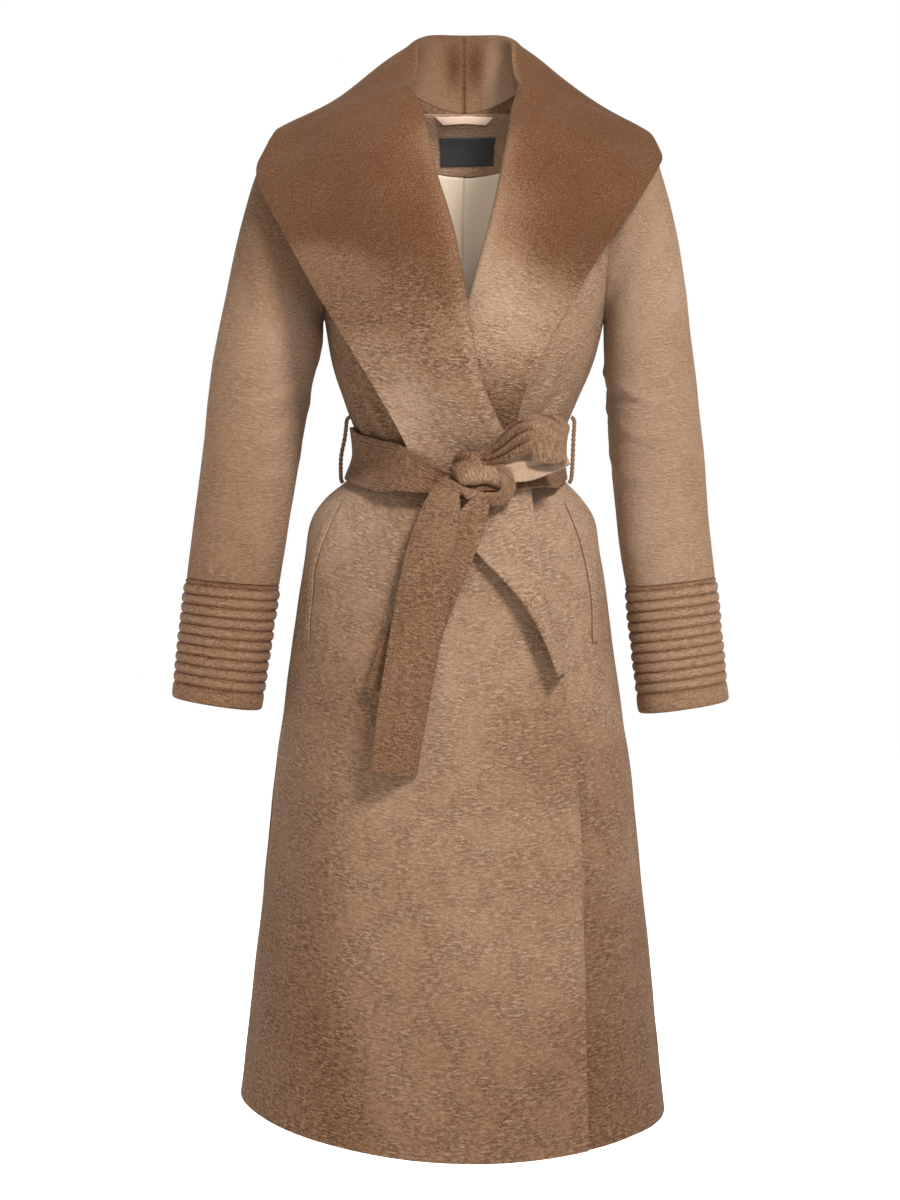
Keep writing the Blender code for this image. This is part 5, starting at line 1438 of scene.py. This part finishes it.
def wool(name, across=150.0, along=430.0, lift=1.4 * MM, stitched=None, contrast=0.8):
    """Napped wool: deep colour between the ripples, light tips on them, over each piece's painted light and
    shade.

    across and along say how fine the ripples are, lift how high they stand and contrast how strong they look.
    """
    made = bpy.data.materials.new(name)
    made.use_nodes = True
    tree_ = made.node_tree
    shader = tree_.nodes["Principled BSDF"]
    uv = tree_.nodes.new("ShaderNodeUVMap")
    uv.uv_map = "cloth"
    nap = tree_.nodes.new("ShaderNodeGroup")
    nap.node_tree = NAP
    tree_.links.new(uv.outputs[0], nap.inputs["Place"])
    nap.inputs["Across"].default_value = across
    nap.inputs["Along"].default_value = along
    crinkle = tree_.nodes.new("ShaderNodeAttribute")
    crinkle.attribute_name = "nap_crinkle"
    tree_.links.new(crinkle.outputs["Fac"], nap.inputs["Crinkle"])
    # How light each place is, from the nap and from painted light and shade.
    shade_and_nap_tone = tree_.nodes.new("ShaderNodeAttribute")
    shade_and_nap_tone.attribute_name = "nap_and_painted_shade"
    tips = math_node(tree_, "SUBTRACT", nap.outputs["Tips"], 0.5)
    cloud = math_node(tree_, "SUBTRACT", nap.outputs["Cloud"], 0.5)
    share = math_node(tree_, "MULTIPLY_ADD", tips, contrast, shade_and_nap_tone.outputs["Fac"])
    share = math_node(tree_, "MULTIPLY_ADD", cloud, 0.07, share)
    share = math_node(tree_, "MINIMUM", math_node(tree_, "MAXIMUM", share, 0.0), 1.0)
    low = math_node(tree_, "MINIMUM", math_node(tree_, "MULTIPLY", share, 2.0), 1.0)
    high = math_node(tree_, "MAXIMUM", math_node(tree_, "MULTIPLY_ADD", share, 2.0, -1.0), 0.0)
    colour = mixed(tree_, high, mixed(tree_, low, NAP_DEEP, NAP_MIDDLE), NAP_LIGHT)
    height = nap.outputs["Height"]
    if stitched:
        thread, groove = stitch_lines(tree_, uv.outputs[0], *stitched)
        # Painted shade in the groove that each row of stitching pulls.
        colour = mixed(tree_, math_node(tree_, "MULTIPLY", groove, 0.35), colour, NAP_DEEP)
        colour = mixed(tree_, math_node(tree_, "MULTIPLY", thread, 0.4), colour, NAP_LIGHT)
        height = math_node(tree_, "SUBTRACT", height, math_node(tree_, "MULTIPLY", groove, 0.9))
    tree_.links.new(colour, shader.inputs["Base Color"])
    bump = tree_.nodes.new("ShaderNodeBump")
    bump.inputs["Strength"].default_value = 1.0
    bump.inputs["Distance"].default_value = lift
    tree_.links.new(height, bump.inputs["Height"])
    tree_.links.new(bump.outputs[0], shader.inputs["Normal"])
    shader.inputs["Roughness"].default_value = 0.9
    shader.inputs["Specular IOR Level"].default_value = 0.15
    shader.inputs["Sheen Weight"].default_value = 0.12
    shader.inputs["Sheen Roughness"].default_value = 0.5
    shader.inputs["Sheen Tint"].default_value = (1.0, 0.78, 0.58, 1.0)
    made.diffuse_color = NAP_LIGHT
    return made


def stitch_lines(tree_, uv, axis, middle, half_width, insets):
    """Rows of topstitching along both edges of a ribbon: the threads and the groove that they pull.

    axis is the one that runs across the ribbon, middle and half_width are measured on it, and insets say how
    far in each row lies.
    """
    parts = tree_.nodes.new("ShaderNodeSeparateXYZ")
    tree_.links.new(uv, parts.inputs[0])
    across = math_node(tree_, "ABSOLUTE", math_node(tree_, "SUBTRACT", parts.outputs[axis], middle))
    thread = groove = None
    for inset in insets:
        away = math_node(tree_, "ABSOLUTE", math_node(tree_, "SUBTRACT", across, half_width - inset))
        line = tree_.nodes.new("ShaderNodeMapRange")
        line.interpolation_type = "SMOOTHSTEP"
        line.inputs["From Min"].default_value = GROOVE
        line.inputs["From Max"].default_value = 0.0
        tree_.links.new(away, line.inputs["Value"])
        narrow = math_node(tree_, "LESS_THAN", away, THREAD)
        along = math_node(tree_, "DIVIDE", parts.outputs[1 - axis], STITCH)
        dash = math_node(tree_, "LESS_THAN", math_node(tree_, "FRACT", along), 0.66)
        stitches = math_node(tree_, "MULTIPLY", narrow, dash)
        thread = stitches if thread is None else math_node(tree_, "MAXIMUM", thread, stitches)
        groove = line.outputs[0] if groove is None else math_node(tree_, "MAXIMUM", groove, line.outputs[0])
    return thread, groove


def satin(name, colour, grain=900.0, roughness=0.38):
    """Smooth satin: fine threads that run one way."""
    made = bpy.data.materials.new(name)
    made.use_nodes = True
    tree_ = made.node_tree
    shader = tree_.nodes["Principled BSDF"]
    uv = tree_.nodes.new("ShaderNodeUVMap")
    uv.uv_map = "cloth"
    stretch = tree_.nodes.new("ShaderNodeMapping")
    stretch.inputs["Scale"].default_value = (grain, grain * 4, 1)
    tree_.links.new(uv.outputs[0], stretch.inputs["Vector"])
    threads = tree_.nodes.new("ShaderNodeTexNoise")
    threads.inputs["Scale"].default_value = 1.0
    threads.inputs["Detail"].default_value = 2.0
    tree_.links.new(stretch.outputs[0], threads.inputs["Vector"])
    deep = tuple(0.82 * part for part in colour)
    shade = mixed(tree_, threads.outputs["Fac"], (*deep, 1.0), (*colour, 1.0))
    tree_.links.new(shade, shader.inputs["Base Color"])
    bump = tree_.nodes.new("ShaderNodeBump")
    bump.inputs["Distance"].default_value = 0.1 * MM
    bump.inputs["Strength"].default_value = 0.5
    tree_.links.new(threads.outputs["Fac"], bump.inputs["Height"])
    tree_.links.new(bump.outputs[0], shader.inputs["Normal"])
    shader.inputs["Roughness"].default_value = roughness
    shader.inputs["Sheen Weight"].default_value = 0.15
    return made


# --- The whole coat -------------------------------------------------------------------------------
body_wool = wool("brushed camel wool")
sleeve_wool = wool("brushed sleeve wool", contrast=0.6)
collar_wool = wool("brushed collar wool", contrast=1.05)
rib_wool = wool("ribbed cuff wool", lift=0.9 * MM, contrast=0.9)
belt_wool = wool("belt wool", contrast=1.0, stitched=(1, BELT_WIDTH / 2, BELT_WIDTH / 2, EDGES))
tail_wool = wool("belt tail wool", contrast=0.95, stitched=(0, 0.0, BELT_WIDTH / 2, EDGES[:1]))
knot_wool = wool("knotted belt wool", contrast=1.0)
thread_wool = wool("twisted loop thread", across=400, along=900, lift=0.3 * MM, contrast=0.4)
# The lining satin's own pale colour, raised further as painted light inside the neck.
lining_satin = satin("smooth lining satin", (0.88, 0.74, 0.57))
trim_satin = satin("pale trim satin", (0.72, 0.52, 0.40), roughness=0.3)
label_cloth = satin("black woven label", (0.030, 0.030, 0.032), grain=500.0, roughness=0.55)


def dress():
    """Makes every piece in the order in which the coat is dressed, each over the layers under it."""
    right_edge = FrontEdge(NECK_RIGHT, LAPEL_RIGHT, EDGE_RIGHT, -1)
    left_edge = FrontEdge(NECK_LEFT, LAPEL_LEFT, EDGE_LEFT, 1)

    back = creased(back_grid(), BACK_CREASES)
    sleeves = {
        "right": creased(sleeve_grid(SLEEVE_RIGHT), SLEEVE_RIGHT_CREASES, closed=True),
        "left": creased(sleeve_grid(SLEEVE_LEFT), SLEEVE_LEFT_CREASES, closed=True),
    }
    layers = [(tree(back), CLOTH / 2)] + [(tree(grid, closed=True), CLOTH / 2) for grid in sleeves.values()]

    front_left, left_lift = front_grid(left_edge)
    front_left = creased(front_left, BODICE_LEFT_CREASES)
    front_left_layer = (tree(front_left), CLOTH / 2)
    radius = np.interp(
        left_edge.collar_stations,
        (0, 3.5, 4.5, 6, 11, 13),
        (NECK_RADIUS, ROLL_RADIUS, SHOULDER_RADIUS, ROLL_RADIUS, ROLL_RADIUS, TUCKED_RADIUS),
    )
    under_collar = layers + [front_left_layer]
    collar_left = collar_grid(left_edge, NECK_LEFT, LAPEL_LEFT, left_lift, radius, under_collar)
    collar_left_layer = (tree(collar_left), DOUBLE / 2)

    front_right, right_lift = front_grid(right_edge, [front_left_layer, collar_left_layer])
    front_right = creased(front_right, BODICE_RIGHT_CREASES)
    front_right_layer = (tree(front_right), CLOTH / 2)
    radius = np.interp(
        right_edge.collar_stations,
        (0, 3.5, 4.5, 6, 17, 19),
        (NECK_RADIUS, ROLL_RADIUS, SHOULDER_RADIUS, ROLL_RADIUS, ROLL_RADIUS, END_RADIUS),
    )
    under_collar = layers + [front_left_layer, collar_left_layer, front_right_layer]
    collar_right = collar_grid(right_edge, NECK_RIGHT, LAPEL_RIGHT, right_lift, radius, under_collar)
    collar_right_layer = (tree(collar_right), DOUBLE / 2)

    wrapped = [layers[0], front_left_layer, collar_left_layer, front_right_layer, collar_right_layer]
    belt = belt_band_grid(wrapped)
    belt_layer = (tree(belt, closed=True), DOUBLE / 2)

    parts = [
        sheet(
            "back_cloth", back, CLOTH, body_wool, "back",
            lie=nap_and_shade_lie(back, NAP_AND_SHADE_BACK),
        ),
        sheet(
            "front_left_cloth", front_left, CLOTH, body_wool, "front_left",
            lie=nap_and_shade_lie(front_left, NAP_AND_SHADE_FRONT_LEFT),
        ),
        sheet(
            "front_right_cloth", front_right, CLOTH, body_wool, "front_right",
            lie=nap_and_shade_lie(front_right, NAP_AND_SHADE_FRONT_RIGHT),
        ),
    ]
    cutters = {
        "right": armhole_cutter("armhole_right", SLEEVE_RIGHT),
        "left": armhole_cutter("armhole_left", SLEEVE_LEFT),
    }
    for part, sides in zip(parts, (("right", "left"), ("left",), ("right",))):
        open_armholes(part, [cutters[side] for side in sides])
    for cutter in cutters.values():
        bpy.data.objects.remove(cutter)
    # The sleeves' nap with its painted light and shade.
    sleeve_nap_shades = {"right": NAP_AND_SHADE_SLEEVE_RIGHT, "left": NAP_AND_SHADE_SLEEVE_LEFT}
    for side, grid in sleeves.items():
        name = f"sleeve_{side}"
        sheet(
            f"{name}_cloth", grid, CLOTH, sleeve_wool, name,
            closed=True, lie=nap_and_shade_lie(grid, sleeve_nap_shades[side], 0.75),
        )
    for side, table, end_row in (
        ("right", SLEEVE_RIGHT, CUFF_END_RIGHT),
        ("left", SLEEVE_LEFT, CUFF_END_LEFT),
    ):
        name = f"cuff_{side}"
        cuff = piece(f"{name}_cloth", cuff_bm(table, end_row), rib_wool, name)
    for side, grid, places in (
        ("left", collar_left, NAP_AND_SHADE_COLLAR_LEFT),
        ("right", collar_right, NAP_AND_SHADE_COLLAR_RIGHT),
    ):
        name = f"collar_{side}"
        sheet(
            f"{name}_cloth", grid, DOUBLE, collar_wool, name,
            edge=1.2 * MM, lie=collar_lie(grid, places), level=True,
        )

    sheet(
        "belt_band_cloth", belt, DOUBLE, belt_wool, "belt_band",
        closed=True, edge=1.1 * MM, lie=nap_and_shade_lie(belt, NAP_AND_SHADE_BELT, 0.6),
    )
    under_tails = [front_right_layer, collar_right_layer, belt_layer]
    tail_short = tail_grid(TAIL_SHORT, 90, under_tails)
    tail_long = tail_grid(TAIL_LONG, 120, under_tails + [(tree(tail_short), DOUBLE / 2)])
    for name, grid in (("belt_tail_short", tail_short), ("belt_tail_long", tail_long)):
        sheet(
            f"{name}_cloth", grid, DOUBLE, tail_wool, name,
            edge=1.1 * MM, lie=nap_and_shade_lie(grid, NAP_AND_SHADE_TAIL, 0.7),
        )
    bow = pleated(bow_grid(BOW_LOOP, 130), BOW_PLEATS)
    sheet(
        "belt_bow_cloth", bow, DOUBLE, knot_wool, "belt_bow_loop",
        edge=1.1 * MM, lie=bow_lie(bow),
    )
    piece("belt_knot_cloth", knot_bm([belt_layer]), knot_wool, "belt_knot")
    for name, side in (("belt_loop_right", -1), ("belt_loop_left", 1)):
        loop = thread_loop_bm(side, layers[0][0], belt)
        piece(f"{name}_thread", loop, thread_wool, name)

    for side, rows, front_layer, places in (
        ("right", POCKET_RIGHT, front_right_layer, NAP_AND_SHADE_FRONT_RIGHT),
        ("left", POCKET_LEFT, front_left_layer, NAP_AND_SHADE_FRONT_LEFT),
    ):
        welt = welt_grid(rows, [front_layer])
        name = f"pocket_welt_{side}"
        sheet(
            f"{name}_cloth", welt, WELT, body_wool, name,
            lie=nap_and_shade_lie(welt, places),
        )

    facing_depth = (CLOTH + FACING) / 2 + SEAM
    lining_depth = (CLOTH + SATIN) / 2 + SEAM
    on_facing = facing_depth + (FACING + SATIN) / 2 + SEAM
    facing = facing_grid(np.linspace(*INSIDE_ANGLES, 101), facing_depth)
    sheet(
        "back_facing_cloth", facing, FACING, collar_wool, "back_facing",
        edge=0.5 * MM, lie=nap_and_shade_lie(facing, NAP_AND_SHADE_FACING, 0.8),
    )
    for name, grid, finish, slot, node, held in (
        ("back_lining_satin", lining_grid(lining_depth), lining_satin, "satin_lining", "back_lining", "hung"),
        ("neck_label_weave", label_grid(on_facing), label_cloth, "label_black", "neck_label", "laid"),
        ("hanger_loop_satin", hanger_grid(on_facing), trim_satin, "satin_trim", "hanger_loop", "hung"),
    ):
        sheet(name, grid, SATIN, finish, node, edge=0.3 * MM)


dress()


# --- Studio ---------------------------------------------------------------------------------------
FLOOR_Z, FLOOR_RADIUS = -1.62, 9.0
AIM = Vector((0, 0, -0.5))  # where the large lamps point
LAMPS = (  # name, place, size and power
    ("key light", (1.3, -2.5, 1.85), 0.8, 155),
    ("front light", (-0.3, -3.7, -0.4), 2.4, 17),
    ("left light", (-2.6, -1.0, -0.5), 2.0, 18),
    ("left rim light", (-2.2, 1.7, -0.3), 1.4, 26),
    ("right rim light", (2.2, 1.7, -0.3), 1.4, 14),
    ("back light", (0.0, 3.4, 1.0), 2.4, 50),
)
# A narrow lamp for the inside of the neck.
NECK_LAMP, NECK_AIM = (-0.06, -2.3, 0.40), Vector((0.0, 0.07, -0.06))
NECK_POWER, NECK_BEAM = 142, math.radians(6.5)
CAMERA, CAMERA_TILT = (-0.011, -3.0, -0.42), math.radians(87.48)
LENS = 81.8


def put(name, data, place=(0, 0, 0)):
    """An object of the studio in its place."""
    obj = bpy.data.objects.new(name, data)
    bpy.context.scene.collection.objects.link(obj)
    obj.location = place
    return obj


def turn_to(obj, aim):
    """Turns a lamp towards what it lights."""
    obj.rotation_euler = (aim - obj.location).to_track_quat("-Z", "Y").to_euler()


def pale_floor():
    """A wide pale floor, brighter where the camera sees it."""
    bm = bmesh.new()
    bmesh.ops.create_circle(bm, cap_ends=True, radius=FLOOR_RADIUS, segments=96)
    bmesh.ops.translate(bm, verts=bm.verts, vec=(0, 0, FLOOR_Z))
    mesh = bpy.data.meshes.new("pale_floor")
    bm.to_mesh(mesh)
    bm.free()
    floor = put("pale_floor", mesh)
    pale = bpy.data.materials.new("pale floor")
    pale.use_nodes = True
    shader = pale.node_tree.nodes["Principled BSDF"]
    sight = pale.node_tree.nodes.new("ShaderNodeLightPath")
    glow = math_node(pale.node_tree, "MULTIPLY_ADD", sight.outputs["Is Camera Ray"], 0.4, 0.5)
    pale.node_tree.links.new(glow, shader.inputs["Emission Strength"])
    shader.inputs["Base Color"].default_value = (0.86, 0.86, 0.86, 1)
    shader.inputs["Roughness"].default_value = 0.9
    shader.inputs["Emission Color"].default_value = (1, 1, 1, 1)
    mesh.materials.append(pale)


def surroundings():
    """White behind the coat, and a dim warm light from all round."""
    world = bpy.data.worlds.new("studio")
    bpy.context.scene.world = world
    world.use_nodes = True
    tree_ = world.node_tree
    tree_.nodes.clear()
    path = tree_.nodes.new("ShaderNodeLightPath")
    seen = tree_.nodes.new("ShaderNodeBackground")
    seen.inputs[0].default_value = (1, 1, 1, 1)
    seen.inputs[1].default_value = 1.0
    around = tree_.nodes.new("ShaderNodeBackground")
    around.inputs[0].default_value = (1.0, 0.95, 0.90, 1)
    around.inputs[1].default_value = 0.22
    mix = tree_.nodes.new("ShaderNodeMixShader")
    out = tree_.nodes.new("ShaderNodeOutputWorld")
    tree_.links.new(path.outputs["Is Camera Ray"], mix.inputs[0])
    tree_.links.new(around.outputs[0], mix.inputs[1])
    tree_.links.new(seen.outputs[0], mix.inputs[2])
    tree_.links.new(mix.outputs[0], out.inputs[0])


def studio():
    """The floor, the light and the camera."""
    pale_floor()
    surroundings()
    for name, place, size, power in LAMPS:
        lamp = bpy.data.lights.new(name, "AREA")
        lamp.size = size
        lamp.energy = power
        turn_to(put(name, lamp, place), AIM)

    beam = bpy.data.lights.new("neck light", "SPOT")
    beam.energy = NECK_POWER
    beam.color = (1.0, 0.91, 0.83)
    beam.spot_size = NECK_BEAM
    beam.spot_blend = 1.0
    beam.shadow_soft_size = 0.12
    turn_to(put("neck light", beam, NECK_LAMP), NECK_AIM)

    lens = bpy.data.cameras.new("view")
    lens.lens = LENS
    lens.sensor_width = 36
    lens.clip_end = 50
    camera = put("view", lens, CAMERA)
    camera.rotation_euler = (CAMERA_TILT, 0, 0)
    bpy.context.scene.camera = camera
    bpy.context.scene.view_settings.view_transform = "Standard"
    bpy.context.scene.view_settings.look = "None"


studio()
